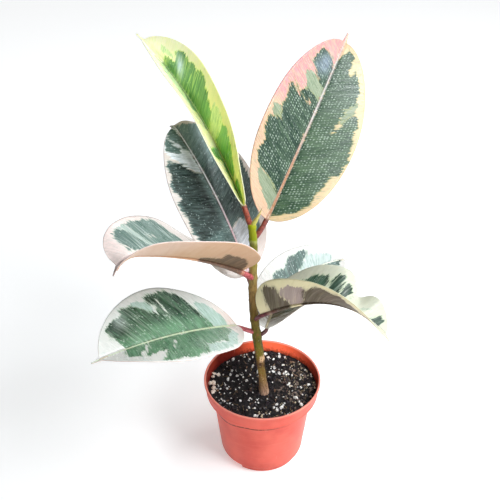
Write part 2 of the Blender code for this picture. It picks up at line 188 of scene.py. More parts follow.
# %% Floor
def make_floor():
    """White paper that is lit from behind further out, as a backdrop has lamps of its own."""
    bpy.ops.mesh.primitive_plane_add(size=12.0)
    floor = bpy.context.object
    floor.name = "floor"
    material = bpy.data.materials.new("floor_white")
    material.use_nodes = True
    nodes, links = material.node_tree.nodes, material.node_tree.links
    shader = nodes["Principled BSDF"]
    shader.inputs["Base Color"].default_value = srgb(236, 236, 236)
    shader.inputs["Roughness"].default_value = 0.9
    shader.inputs["Emission Color"].default_value = (1.0, 1.0, 1.0, 1.0)
    away = nodes.new("ShaderNodeVectorMath")
    away.operation = "LENGTH"
    links.new(nodes.new("ShaderNodeTexCoord").outputs["Object"], away.inputs[0])
    glow = nodes.new("ShaderNodeMapRange")
    glow.interpolation_type = "SMOOTHSTEP"
    for place, number in enumerate((GLOW_STARTS, GLOW_ENDS, GLOW_NEAR, GLOW_FAR)):
        glow.inputs[place + 1].default_value = number
    links.new(away.outputs["Value"], glow.inputs["Value"])
    links.new(glow.outputs[0], shader.inputs["Emission Strength"])
    floor.data.materials.append(material)
    return floor


floor = make_floor()
print("floor, m:", [round(side, 1) for side in floor.dimensions.xy])

# %% Sky
def make_sky():
    """A pale sky that is brighter on the right, where the windows of a studio would be."""
    world = bpy.data.worlds.new("pale_sky")
    bpy.context.scene.world = world
    world.use_nodes = True
    nodes, links = world.node_tree.nodes, world.node_tree.links
    sky = nodes["Background"]
    sky.inputs["Color"].default_value = (0.95, 0.98, 1.0, 1.0)
    way = nodes.new("ShaderNodeSeparateXYZ")
    links.new(nodes.new("ShaderNodeTexCoord").outputs["Generated"], way.inputs[0])
    share = nodes.new("ShaderNodeMapRange")
    share.interpolation_type = "SMOOTHSTEP"
    for place, number in ((1, -0.7), (2, 0.7), (3, SKY_LEFT), (4, SKY_RIGHT)):
        share.inputs[place].default_value = number
    links.new(way.outputs["X"], share.inputs["Value"])
    links.new(share.outputs[0], sky.inputs["Strength"])
    return world


sky = make_sky()
print("sky:", sky.name)

# %% Lamps
def make_light(kind, name, box, aim):
    """`from` is (bearing clockwise from the far side, elevation), looking from where it aims."""
    bearing, elevation = (math.radians(angle) for angle in box["from"])
    out = Vector((math.sin(bearing) * math.cos(elevation), math.cos(bearing) * math.cos(elevation),
                  math.sin(elevation)))
    bpy.ops.object.light_add(type=kind, location=aim + out * box["away"])
    light = bpy.context.object
    light.name = name
    light.data.energy = box["watts"]
    light.data.color = (0.94, 0.98, 1.0)
    light.rotation_euler = (-out).to_track_quat("-Z", "Y").to_euler()
    return light.data


for name, box in SOFTBOXES.items():
    make_light("AREA", name, box, VIEW_POINT).size = box["size"]
for name, box in SNOOTS.items():
    snoot = make_light("SPOT", name, box, Vector(box["aim"]) * MM)
    snoot.shadow_soft_size = box["size"]
    snoot.spot_size = math.radians(box["wide"])
    snoot.spot_blend = 0.6
bpy.context.scene.view_settings.view_transform = "Standard"
print("lamps in the scene:", len(bpy.data.lights))

# %% [markdown]
# ## Building materials
# Every finish below is a few nodes chained by hand. A tiny helper adds a node and sets its
# numbers, so that a material reads as a list of what it is mixed from.

# %% Adding and wiring a node
def new_material(name):
    material = bpy.data.materials.new(name)
    material.use_nodes = True
    return material, material.node_tree.nodes["Principled BSDF"]


def add(material, kind, settings=None, **inputs):
    """Adds a node. `settings` are its own options, and inputs are values or other nodes' outputs."""
    node = material.node_tree.nodes.new(kind)
    for key, value in (settings or {}).items():
        setattr(node, key, value)
    for key, value in inputs.items():
        wire(material, node, key, value)
    return node


def wire(material, node, key, value):
    """Sets or links one input, named as in the node with _ for a space, or by its number."""
    socket = node.inputs[int(key[2:])] if key.startswith("in") and key[2:].isdigit() else \
        node.inputs[key.replace("_", " ")]
    if isinstance(value, bpy.types.NodeSocket):
        material.node_tree.links.new(value, socket)
    else:
        socket.default_value = value


print("a node is added with its inputs, and a value or another node's output fits each")

# %% Mixing, ramps and noise
def mix(material, share, first, second):
    """A colour that goes from first to second as share goes from 0 to 1."""
    node = add(material, "ShaderNodeMix", {"data_type": "RGBA"})
    wire(material, node, "in0", share)
    wire(material, node, "in6", first)
    wire(material, node, "in7", second)
    return node.outputs[2]


def maths(material, operation, *values):
    node = add(material, "ShaderNodeMath", {"operation": operation})
    for place, value in enumerate(values):
        wire(material, node, f"in{place}", value)
    return node.outputs[0]


def ramp(material, value, low, high, to_low=0.0, to_high=1.0):
    """Maps value from low..high to to_low..to_high with soft ends, and holds it outside."""
    node = add(material, "ShaderNodeMapRange", {"interpolation_type": "SMOOTHSTEP"})
    for place, number in enumerate((value, low, high, to_low, to_high)):
        wire(material, node, f"in{place}", number)
    return node.outputs[0]


def band(material, value, low, high, soft):
    """1 between low and high, 0 outside, with soft ends."""
    return maths(material, "MULTIPLY", ramp(material, value, low - soft, low + soft),
                 ramp(material, value, high + soft, high - soft))


def grain(material, where, scale, stretch=(1.0, 1.0, 1.0), detail=3.0, rough=0.55, shift=0.0):
    """Noise from 0 to 1. `scale` is how many blotches fit in a metre, `stretch` squeezes axes."""
    place = add(material, "ShaderNodeMapping")
    wire(material, place, "Vector", where)
    place.inputs["Scale"].default_value = [scale * s for s in stretch]
    place.inputs["Location"].default_value = (shift, shift * 0.7, shift * 0.3)
    node = add(material, "ShaderNodeTexNoise", Vector=place.outputs[0], Scale=1.0, Detail=detail,
               Roughness=rough)
    return node.outputs[0]


def bump(material, shader, height, strength, distance):
    node = add(material, "ShaderNodeBump", Height=height, Strength=strength, Distance=distance)
    wire(material, shader, "Normal", node.outputs[0])


def own_place(material):
    """Where a point is on its object: the pattern stays on the piece wherever it is seen from."""
    return add(material, "ShaderNodeTexCoord").outputs["Object"]


print("helpers for finishes: mix, maths, ramp, band, grain, bump, own_place")

# %% [markdown]
# ## The pot
# A moulded nursery pot: a collar with a thin bead at its top, a step in to a tapering body, a fine
# ledge round the body that a stacked pot rests on, a rounded foot and a hollow underside. It could
# be turned from a profile in one go with Spin. Here its side is drawn ring by ring, as a potter
# pulls a wall up, since each ring can then be checked: one circle is extruded, moved and resized
# again and again. A bevel then rounds every edge.

# %% Pot sizes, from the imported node
pot_low, pot_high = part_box("pot")
POT_HEIGHT = (pot_high.z - pot_low.z) / MM
RIM_RADIUS = (pot_high.x - pot_low.x) / 2 / MM
WALL = 1.2
COLLAR_FOOT = POT_HEIGHT - 13.0
COLLAR_RADIUS = RIM_RADIUS - 2.1
BODY_TOP_RADIUS = COLLAR_RADIUS - 5.2
LEDGE_HEIGHT = 63.2
LEDGE_DEPTH = 0.45
FOOT_HEIGHT = 4.5
POT_SIDES = 160
OUTSIDE = [
    (RIM_RADIUS - 0.35, POT_HEIGHT),
    (RIM_RADIUS, POT_HEIGHT - 0.5),
    (RIM_RADIUS, POT_HEIGHT - 1.7),
    (RIM_RADIUS - 0.45, POT_HEIGHT - 2.3),
    (COLLAR_RADIUS + 0.15, COLLAR_FOOT + 1.5),
    (COLLAR_RADIUS + 0.25, COLLAR_FOOT),
    (BODY_TOP_RADIUS, COLLAR_FOOT - 0.6),
    (BODY_TOP_RADIUS - 0.5, LEDGE_HEIGHT + 0.4),
    (BODY_TOP_RADIUS - 0.5 - LEDGE_DEPTH, LEDGE_HEIGHT),
    (38.2, FOOT_HEIGHT + 3.5),
    (37.6, FOOT_HEIGHT + 1.4),
    (36.2, FOOT_HEIGHT),
    (35.2, FOOT_HEIGHT),
    (34.7, 0.0),
    (29.9, 0.0),
    (29.4, FOOT_HEIGHT),
    (8.5, FOOT_HEIGHT),
    (8.0, 0.0),
]
INSIDE = [
    (RIM_RADIUS - 1.4, POT_HEIGHT),
    (RIM_RADIUS - 1.9, POT_HEIGHT - 0.5),
    (COLLAR_RADIUS - WALL, COLLAR_FOOT + WALL),
    (BODY_TOP_RADIUS - WALL, COLLAR_FOOT - 0.6 + WALL),
    (38.2 - WALL, FOOT_HEIGHT + 3.5),
    (36.2 - WALL, FOOT_HEIGHT + WALL),
]
print(f"pot: {POT_HEIGHT:.1f} mm high, {2 * RIM_RADIUS:.1f} mm across its rim")

# %% The wall, ring by ring
def draw_rings(rings, start_radius, start_height):
    """Extrudes the selected circle through (radius, height) rings, in millimetres."""
    radius, height = start_radius, start_height
    for next_radius, next_height in rings:
        rise = (0.0, 0.0, (next_height - height) * MM)
        bpy.ops.mesh.extrude_region_move(TRANSFORM_OT_translate={"value": rise})
        share = next_radius / radius
        bpy.ops.transform.resize(value=(share, share, 1.0), center_override=(0, 0, next_height * MM))
        radius, height = next_radius, next_height


def select_ring(radius, height, slack=0.02):
    """Selects the vertices at a radius and height, in millimetres, in edit mode."""
    bpy.ops.mesh.select_all(action="DESELECT")
    shape = bmesh.from_edit_mesh(bpy.context.object.data)
    for vertex in shape.verts:
        out = math.hypot(vertex.co.x, vertex.co.y) / MM
        if abs(out - radius) < slack and abs(vertex.co.z / MM - height) < slack:
            vertex.select = True
    shape.select_flush(True)
    bmesh.update_edit_mesh(bpy.context.object.data)


def make_pot_wall():
    first_radius, first_height = OUTSIDE[0]
    bpy.ops.mesh.primitive_circle_add(vertices=POT_SIDES, radius=first_radius * MM,
                                      location=(0, 0, first_height * MM))
    pot = bpy.context.object
    settle(pot)
    bpy.ops.object.mode_set(mode="EDIT")
    bpy.ops.mesh.select_mode(type="VERT")
    draw_rings(OUTSIDE[1:], first_radius, first_height)
    bpy.ops.mesh.edge_face_add()
    select_ring(first_radius, first_height)
    draw_rings(INSIDE, first_radius, first_height)
    bpy.ops.mesh.edge_face_add()
    bpy.ops.mesh.select_all(action="SELECT")
    bpy.ops.mesh.normals_make_consistent(inside=False)
    bpy.ops.object.mode_set(mode="OBJECT")
    soft = pot.modifiers.new("Moulded edges", "BEVEL")
    soft.width = 0.35 * MM
    soft.segments = 3
    soft.limit_method = "ANGLE"
    soft.angle_limit = math.radians(12)
    apply_modifiers(pot)
    return pot


pot = make_pot_wall()
print("pot wall:", len(pot.data.polygons), "faces")

# %% [markdown]
# ## Feet and drain holes
# Three notches split the foot ring into long feet, so that water runs out, and eight holes drain
# the floor. They could be inset and deleted face by face. A cutter and a boolean give a clean hole
# through a curved wall at once, and come after the bevel, so that their edges stay crisp.

# %% Cutters, and cutting
FOOT_NOTCHES = {"count": 3, "first": -17.5, "radius": 32.3, "depth": 9.3, "width": 19.0}
DRAIN_HOLES = {"count": 8, "first": 22.5, "radius": 20.0, "depth": 23.0}
NOTCH_LENGTH = 9.8
DRAIN_RADIUS = 2.9


def cut_out(piece, cutter):
    cut = piece.modifiers.new("Cut", "BOOLEAN")
    cut.operation = "DIFFERENCE"
    cut.object = cutter
    cut.solver = "EXACT"
    apply_modifiers(piece)
    bpy.data.objects.remove(cutter, do_unlink=True)


def round_the_pot(count, first, radius, depth, width=None):
    """Cutters evenly round the pot from a first bearing: drills, or blocks of a width, as one."""
    cutters = []
    for number in range(count):
        angle = math.radians(first) + math.tau * number / count
        place = (radius * MM * math.cos(angle), radius * MM * math.sin(angle), 0.0)
        put_down()
        if width:
            bpy.ops.mesh.primitive_cube_add(size=1.0, location=place, rotation=(0, 0, angle),
                                            scale=(NOTCH_LENGTH * MM, width * MM, depth * MM))
        else:
            bpy.ops.mesh.primitive_cylinder_add(vertices=32, radius=DRAIN_RADIUS * MM,
                                                depth=depth * MM, location=place)
        cutters.append(bpy.context.object)
    return join(cutters, "cutter")


for openings in (FOOT_NOTCHES, DRAIN_HOLES):
    cut_out(pot, round_the_pot(**openings))
pot.name = "nursery_pot"
pick_up(pot)
bpy.ops.object.shade_smooth_by_angle(angle=math.radians(40))
print("pot with openings:", len(pot.data.polygons), "faces")

# %% [markdown]
# ## Pot plastic
# Thin polypropylene is slightly see-through at the rim, dusty from the soil and rubbed along its edges.
# The colour is a warm salmon red with broad, faint blotches, brown low on the inner wall near the soil,
# short scuffs and faint turning rings, a dark line of painted shade under the ledge that is thicker on
# the left, a pale lip that is partly rubbed wear and partly a painted highlight, and the haze of its
# mould for roughness and bump. Above the soil the inner wall is a lighter fresh red, partly unfaded
# plastic and partly a painted glow of light through the wall, with painted shade at its two sides. Each
# of these is one layer that is mixed over the last. Some subsurface light also lets the sunny wall glow
# on its inner side.

# %% The inner wall and the painted shade under the ledge
def paint_inner_wall(material, across, height, blotch, dust):
    """Brown low on the wall near the soil, a lighter fresh red above it that is partly a painted glow,
    and painted shade at the two sides.
    """
    low_brown = maths(material, "MULTIPLY_ADD", dust, 0.012, -0.006)
    low_brown = ramp(material, maths(material, "ADD", height, low_brown), (POT_HEIGHT - 12.0) * MM,
                  (POT_HEIGHT - 5.0) * MM)
    # the fresh red is lighter than the outside: partly unfaded plastic, partly a painted glow of light
    # through the wall
    inner = mix(material, low_brown, srgb(130, 54, 36), srgb(255, 108, 72))
    # painted shade: the inner wall goes dark at its two sides
    side_shade = maths(material, "ABSOLUTE", maths(material, "ADD", across, -0.012))
    side_shade = maths(material, "MULTIPLY", ramp(material, side_shade, 0.02, 0.042, 0.0, 0.9),
                 ramp(material, blotch, 0.3, 0.6, 0.8, 1.0))
    return mix(material, side_shade, inner, srgb(104, 26, 26))


def paint_ledge_shade(material, across, height, blotch, dust):
    """Painted shade: a wandering dark line under the ledge, thicker on the left, as a share from 0 to
    1.
    """
    line = maths(material, "MULTIPLY_ADD", ramp(material, across, -0.036, -0.012, -0.005, 0.0), 1.0,
                 height)
    line = maths(material, "MULTIPLY_ADD", blotch, 0.002, maths(material, "ADD", line, -0.001))
    line = maths(material, "ADD", line, ramp(material, across, -0.036, -0.012, 0.01, 0.0))
    ledge_shade = band(material, line, (LEDGE_HEIGHT - 0.9) * MM, (LEDGE_HEIGHT + 0.3) * MM, 0.0005)
    ledge_shade = maths(material, "MULTIPLY", ledge_shade, ramp(material, across, -0.006, 0.022, 1.0, 0.2))
    return maths(material, "MULTIPLY", ledge_shade, ramp(material, dust, 0.35, 0.55, 0.5, 1.0))


# %% Pot plastic material
def make_pot_plastic():
    material, shader = new_material("pot_plastic_finish")
    place = own_place(material)
    axes = add(material, "ShaderNodeSeparateXYZ", Vector=place)
    across, height = axes.outputs["X"], axes.outputs["Z"]
    blotch = grain(material, place, 28.0, detail=4.0)
    scuff = grain(material, place, 260.0, stretch=(1.0, 1.0, 0.22), detail=5.0, rough=0.7)
    ring = grain(material, place, 700.0, stretch=(0.06, 0.06, 1.0), detail=2.0, shift=6.0)
    dust = grain(material, place, 420.0, detail=3.0, shift=3.0)
    red = mix(material, ramp(material, blotch, 0.35, 0.68), srgb(224, 90, 76), srgb(240, 112, 96))
    red = mix(material, ramp(material, ring, 0.5, 0.75, 0.0, 0.16), red, srgb(244, 138, 116))
    inside = add(material, "ShaderNodeAttribute", {"attribute_name": "inside"}).outputs["Fac"]
    red = mix(material, inside, red, paint_inner_wall(material, across, height, blotch, dust))
    ledge_shade = maths(material, "MULTIPLY", paint_ledge_shade(material, across, height, blotch, dust),
                 maths(material, "SUBTRACT", 1.0, inside))
    # painted shade: a dark red line under the ledge, stronger on the left
    red = mix(material, ledge_shade, red, srgb(96, 22, 18))
    rubs = band(material, height, (LEDGE_HEIGHT - 7.0) * MM, (LEDGE_HEIGHT + 1.0) * MM, 0.002)
    rubs = maths(material, "MULTIPLY_ADD", rubs, 0.4, 0.25)
    scuffed = mix(material, maths(material, "MULTIPLY", ramp(material, scuff, 0.64, 0.76), rubs), red,
                  srgb(250, 190, 176))
    low = ramp(material, height, 0.0, 0.02, 0.45, 0.0)
    grimy = mix(material, maths(material, "MULTIPLY", low, dust), scuffed, srgb(120, 60, 48))
    # a pale lip: partly rubbed wear, partly a painted highlight along the bead
    lip = ramp(material, height, (POT_HEIGHT - 1.1) * MM, (POT_HEIGHT - 0.5) * MM, 0.0, 0.55)
    wire(material, shader, "Base Color", mix(material, lip, grimy, srgb(250, 172, 156)))
    wire(material, shader, "Roughness", ramp(material, blotch, 0.3, 0.7, 0.34, 0.46))
    shader.inputs["IOR"].default_value = 1.22
    shader.inputs["Subsurface Weight"].default_value = 0.15
    shader.inputs["Subsurface Radius"].default_value = (0.007, 0.002, 0.001)
    shader.inputs["Subsurface Scale"].default_value = 0.7
    bump(material, shader, maths(material, "ADD", dust, ring), 0.15, 0.0003)
    return material


# %% Inside and outside, then hand over
INNER_WALL_STARTS = 0.033


def mark_inside(piece):
    """Stores 1 at the vertices of the inner wall, whose normals point at the pot's middle."""
    layer = piece.data.attributes.new("inside", "FLOAT", "POINT")
    for vertex in piece.data.vertices:
        inward = -vertex.normal.xy.dot(vertex.co.xy) / max(vertex.co.xy.length, 1e-9)
        on_wall = inward > 0.5 and vertex.co.xy.length > INNER_WALL_STARTS
        layer.data[vertex.index].value = float(on_wall)


mark_inside(pot)
pot.data.materials.clear()
pot.data.materials.append(make_pot_plastic())
hand_over(pot, "pot_plastic", "pot")

# %% [markdown]
# ## The soil
# A loose potting mix: a crowned, lumpy surface with crumbs, white perlite, chips of bark and
# fibres lying on it. Bump alone would look flat at the rim, so the surface is a grid whose
# vertices are lifted by noise, trimmed to the wall and closed by a skirt and a floor.

# %% Soil surface
random.seed(7)
soil_low, soil_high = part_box("soil")
SOIL_RADIUS = (soil_high.x - soil_low.x) / 2 / MM
SOIL_TOP = soil_high.z / MM
SOIL_EDGE = SOIL_TOP - 2.0
SOIL_CELLS = 180
SOIL_SKIRT = [(radius - 0.35, height + 0.35) for radius, height in INSIDE[2:]]
STEM_FOOT = Vector((1.7, -9.0))


def soil_height(x, y):
    """Height of the soil's surface, all in millimetres: a crown, soft lumps and small crumbs."""
    out = math.hypot(x, y) / SOIL_RADIUS
    crown = SOIL_EDGE + 1.6 * (1 - out ** 2) + 1.1 * x / SOIL_RADIUS
    lumps = 1.5 * noise.noise(Vector((x / 8.0, y / 8.0, 1.0)))
    clods = 1.5 * (0.4 - noise.voronoi(Vector((x / 4.6, y / 4.6, 5.0)))[0][0])
    crumbs = 1.0 * (0.45 - noise.voronoi(Vector((x / 2.2, y / 2.2, 2.0)))[0][0])
    fines = 0.5 * noise.noise(Vector((x / 0.9, y / 0.9, 3.0)))
    return crown + lumps + clods + crumbs + fines - 0.5


def make_soil_surface():
    bpy.ops.mesh.primitive_grid_add(x_subdivisions=SOIL_CELLS, y_subdivisions=SOIL_CELLS,
                                    size=2.04 * SOIL_RADIUS * MM)
    soil = bpy.context.object
    soil.name = "potting_soil"
    shape = bmesh.new()
    shape.from_mesh(soil.data)
    limit = SOIL_RADIUS * MM
    outside = [f for f in shape.faces if all(v.co.xy.length > limit for v in f.verts)]
    bmesh.ops.delete(shape, geom=outside, context="FACES")
    for vertex in shape.verts:
        if vertex.co.xy.length > limit:
            vertex.co.xy = vertex.co.xy.normalized() * limit
        vertex.co.z = soil_height(vertex.co.x / MM, vertex.co.y / MM) * MM
    for radius, height in SOIL_SKIRT:
        rim = [e for e in shape.edges if e.is_boundary]
        wall = bmesh.ops.extrude_edge_only(shape, edges=rim)
        for vertex in [v for v in wall["geom"] if isinstance(v, bmesh.types.BMVert)]:
            vertex.co.xy = vertex.co.xy.normalized() * radius * MM
            vertex.co.z = height * MM
    bmesh.ops.contextual_create(shape, geom=[e for e in shape.edges if e.is_boundary])
    bmesh.ops.recalc_face_normals(shape, faces=shape.faces)
    shape.to_mesh(soil.data)
    shape.free()
    soil.data.shade_smooth()
    return soil


soil = make_soil_surface()
print("soil surface:", len(soil.data.polygons), "faces")

# %% [markdown]
# ## Earth
# Damp peat is almost black and quite matt, with paler dry patches and a few light specks. One
# noise picks the patches and a finer one the specks. Crumbs get a simpler recipe of two tones,
# since each is only a few millimetres across.

# %% Soil materials
def make_earth():
    material, shader = new_material("potting_mix_finish")
    place = own_place(material)
    patch = grain(material, place, 210.0, detail=5.0, rough=0.7)
    speck = grain(material, place, 1100.0, detail=2.0, shift=2.0)
    dark = mix(material, ramp(material, patch, 0.45, 0.72), srgb(7, 4, 7), srgb(42, 32, 34))
    dotted = mix(material, ramp(material, speck, 0.66, 0.74, 0.0, 0.4), dark, srgb(150, 134, 124))
    wire(material, shader, "Base Color", dotted)
    shader.inputs["Roughness"].default_value = 0.9
    bump(material, shader, maths(material, "ADD", patch, speck), 0.9, 0.0008)
    return material


def make_crumb_material(name, first, second, roughness, scale):
    material, shader = new_material(name)
    place = own_place(material)
    tone = grain(material, place, scale, detail=3.0)
    wire(material, shader, "Base Color", mix(material, ramp(material, tone, 0.35, 0.65), first, second))
    shader.inputs["Roughness"].default_value = roughness
    bump(material, shader, tone, 0.4, 0.0003)
    return material


soil.data.materials.append(make_earth())
hand_over(soil, "potting_mix", "soil")

# %% [markdown]
# ## Crumbs on the soil
# Each kind of crumb is modelled once with a few faces. A loop then copies it to random places on
# the surface, turned, shrunk and pulled a little differently each time, and joins the copies of a
# kind into one piece. A particle system could scatter them too, but its copies aren't meshes
# that can be handed over.

# %% One crumb, copied all over the soil
CLEAR_OF_STEM = 5.0
FIBRE_LENGTH = 7.0


def first_crumb(name, size, ruggedness):
    """An icosphere pulled out of round: `size` is its three half-widths in millimetres."""
    put_down()
    bpy.ops.mesh.primitive_ico_sphere_add(subdivisions=1, radius=MM)
    crumb = bpy.context.object
    crumb.name = name
    for vertex in crumb.data.vertices:
        vertex.co *= 1 + random.uniform(-ruggedness, ruggedness)
        vertex.co = [c * s for c, s in zip(vertex.co, size)]
    return crumb


def soil_place(least, most, gathers):
    """A random place on the soil between two radii, clear of the stem, with its height.

    `gathers` is (bearing, spread) in degrees for crumbs that lie on one side, or None."""
    while True:
        out = math.sqrt(random.uniform(least ** 2, most ** 2))
        angle = math.radians(random.gauss(*gathers)) if gathers else random.uniform(0.0, math.tau)
        x, y = out * math.cos(angle), out * math.sin(angle)
        if (Vector((x, y)) - STEM_FOOT).length > CLEAR_OF_STEM:
            return Vector((x, y, soil_height(x, y))) * MM


def scatter(crumb, name, count, shrink, sink=0.3, tilt=math.pi, least=0.0, most=47.6,
            gathers=None):
    """Copies the crumb to `count` places, each turned, shrunk and pulled its way, and joins them."""
    copies = []
    for _ in range(count):
        copy = crumb.copy()
        copy.data = crumb.data.copy()
        bpy.context.scene.collection.objects.link(copy)
        size = random.uniform(*shrink)
        pull = [size * random.uniform(0.75, 1.25) for _ in range(3)]
        place = soil_place(least, most, gathers) + Vector((0, 0, sink * size * MM))
        turn = (random.uniform(-tilt, tilt), random.uniform(-tilt, tilt), random.uniform(0, math.tau))
        copy.matrix_world = Matrix.LocRotScale(place, turned(turn), pull)
        settle(copy)
        copies.append(copy)
    bpy.data.objects.remove(crumb, do_unlink=True)
    return join(copies, name)


def turned(angles):
    return Matrix.Rotation(angles[2], 3, "Z") @ Matrix.Rotation(angles[1], 3, "Y") \
        @ Matrix.Rotation(angles[0], 3, "X")


# %% A fibre
def make_fibre():
    """A thin bent fibre: a four-sided rod of five joints."""
    put_down()
    bpy.ops.mesh.primitive_cylinder_add(vertices=4, radius=0.17 * MM, depth=FIBRE_LENGTH * MM,
                                        rotation=(0, math.pi / 2, 0))
    fibre = bpy.context.object
    settle(fibre)
    bpy.ops.object.mode_set(mode="EDIT")
    bpy.ops.mesh.select_all(action="DESELECT")
    shape = bmesh.from_edit_mesh(fibre.data)
    long_edges = [e for e in shape.edges if e.calc_length() > FIBRE_LENGTH / 2 * MM]
    bmesh.ops.subdivide_edges(shape, edges=long_edges, cuts=4)
    for vertex in shape.verts:
        vertex.co.z += 0.9 * MM * (1 - (vertex.co.x / (FIBRE_LENGTH / 2 * MM)) ** 2)
        vertex.co.y += 0.5 * MM * math.sin(vertex.co.x / MM)
    bmesh.update_edit_mesh(fibre.data)
    bpy.ops.object.mode_set(mode="OBJECT")
    return fibre


# %% [markdown]
# ## Kinds of crumbs
# The mix has black clods, white perlite in two sizes, bark, tan grit that has gathered along two
# sides, and pale flakes of wood on the left. A kind is its half-widths, how far from round it is,
# and how it is scattered. The order stays as it is, because each kind draws from one random row.

# %% Kinds of crumbs and their finishes
CRUMBS = {
    "soil_clods": ((2.4, 1.8, 1.4), 0.36, {"count": 250, "shrink": (0.45, 1.3), "sink": 0.2}),
    "clods_right": ((1.9, 1.4, 1.1), 0.36, {"count": 110, "shrink": (0.4, 1.3), "sink": 0.4,
                                            "gathers": (-8.0, 32.0), "least": 14.0}),
    "soil_crumbs": ((1.0, 0.8, 0.7), 0.3, {"count": 700, "shrink": (0.4, 1.3)}),
    "perlite": ((0.9, 0.8, 0.7), 0.3, {"count": 180, "shrink": (0.4, 1.3)}),
    "perlite_large": ((2.0, 1.6, 1.4), 0.36, {"count": 60, "shrink": (0.6, 1.3), "sink": 0.4}),
    "bark_chips": ((2.6, 1.1, 0.6), 0.3, {"count": 60, "shrink": (0.35, 1.1)}),
    "grit_right": ((0.9, 0.7, 0.6), 0.3, {"count": 110, "shrink": (0.3, 1.35), "gathers": (5.0, 26.0),
                                         "least": 24.0}),
    "grit_front": ((0.9, 0.7, 0.6), 0.3, {"count": 70, "shrink": (0.3, 1.35), "gathers": (-78.0, 20.0),
                                         "least": 28.0}),
    "wood_flakes": ((3.0, 1.9, 1.5), 0.25, {"count": 9, "shrink": (0.6, 1.25), "sink": 0.8,
                                           "gathers": (176.0, 12.0), "least": 43.0, "tilt": 0.4}),
}
TAN = (srgb(116, 96, 78), srgb(222, 206, 178), 0.85, 300.0)
WHITE = (srgb(214, 209, 206), srgb(255, 253, 251), 0.75, 700.0)
CRUMB_FINISHES = {
    "soil_clods": (srgb(6, 4, 8), srgb(38, 26, 36), 0.4, 420.0),
    "clods_right": (srgb(24, 18, 20), srgb(138, 118, 106), 0.8, 420.0),
    "soil_crumbs": (srgb(7, 5, 7), srgb(46, 35, 36), 0.8, 500.0),
    "perlite": WHITE,
    "perlite_large": WHITE,
    "bark_chips": (srgb(84, 58, 44), srgb(160, 128, 104), 0.8, 600.0),
    "grit_right": TAN,
    "grit_front": TAN,
    "wood_flakes": (srgb(206, 184, 166), srgb(252, 240, 228), 0.8, 500.0),
}
for name, (size, ruggedness, plan) in CRUMBS.items():
    heap = scatter(first_crumb(name + "_first", size, ruggedness), name, **plan)
    heap.data.materials.append(make_crumb_material(name + "_finish", *CRUMB_FINISHES[name]))
    hand_over(heap, "potting_mix")
fibres = scatter(make_fibre(), "coir_fibres", 64, (0.4, 1.1), sink=0.3, tilt=0.3)
coir = make_crumb_material("coir_finish", srgb(104, 80, 54), srgb(166, 142, 104), 0.8, 400.0)
fibres.data.materials.append(coir)
hand_over(fibres, "potting_mix")

# %% [markdown]
# ## The stem
# One woody shoot that leans back and to the left. A cylinder could be pulled about ring by ring,
# but a stem is a line with a thickness at each point, and that is what a curve is: Blender sweeps a
# round section along it, and it is then made a mesh. The line is the one that the solids follow; a
# ring swells at every leaf's node and at the scar of a fallen leaf, and the foot flares a little.

# %% The stem's line and thickness
STEM_LINE = [
    (2.9, -9.8, 60.0), (1.7, -9.0, 74.0), (-2.3, -7.0, 114.0), (-5.5, -5.7, 140.0),
    (-8.0, -4.4, 163.0), (-8.7, -3.3, 185.0), (-8.2, -1.7, 216.0), (-8.4, -1.0, 230.0),
    (-9.8, -0.2, 246.0),
]
NODE_HEIGHTS = {"leaf_1": 136.0, "leaf_2": 141.0, "leaf_3": 154.0, "leaf_4": 185.0,
                "leaf_5": 196.0, "leaf_6": 232.0, "leaf_7": 243.0}
SCAR_HEIGHT = 113.0
STEM_FOOT_RADIUS = 4.1
STEM_TOP_RADIUS = 3.1
STEM_TAPER = 1.3
NODE_SWELL, NODE_WIDTH = 0.45, 1.8
WAIST_HEIGHT, WAIST_WIDTH, WAIST_DEPTH = 98.0, 13.0, 0.75
FLARE_HEIGHT, FLARE_WIDTH, FLARE = 76.0, 5.0, 0.5


def swell(height, middle, width):
    """A smooth rise along the stem: 1 at its middle height, fading over its width."""
    return math.exp(-((height - middle) / width) ** 2)


def smooth_line(waypoints, count):
    """`count` points on a Catmull-Rom curve through the waypoints."""
    ways = [Vector(p) for p in waypoints]
    ways = [2 * ways[0] - ways[1]] + ways + [2 * ways[-1] - ways[-2]]
    spans = len(waypoints) - 1
    line = []
    for i in range(count):
        place = i / (count - 1) * spans
        k = min(int(place), spans - 1)
        u = place - k
        p0, p1, p2, p3 = ways[k:k + 4]
        line.append(0.5 * (2 * p1 + (p2 - p0) * u + (2 * p0 - 5 * p1 + 4 * p2 - p3) * u ** 2
                           + (3 * p1 - p0 - 3 * p2 + p3) * u ** 3))
    return line


def stem_radius(height):
    foot, top = STEM_LINE[0][2], STEM_LINE[-1][2]
    climb = max(height - foot, 0.0) / (top - foot)
    radius = STEM_FOOT_RADIUS + (STEM_TOP_RADIUS - STEM_FOOT_RADIUS) * climb ** STEM_TAPER
    for ring in list(NODE_HEIGHTS.values()) + [SCAR_HEIGHT]:
        radius += NODE_SWELL * swell(height, ring, NODE_WIDTH)
    return radius - WAIST_DEPTH * swell(height, WAIST_HEIGHT, WAIST_WIDTH)


# %% A rod along a line, and the stem
def stem_at(height):
    line = smooth_line(STEM_LINE, 44)
    for low, high in zip(line, line[1:]):
        if low.z <= height <= high.z:
            return low.lerp(high, (height - low.z) / (high.z - low.z))
    return line[-1].copy()


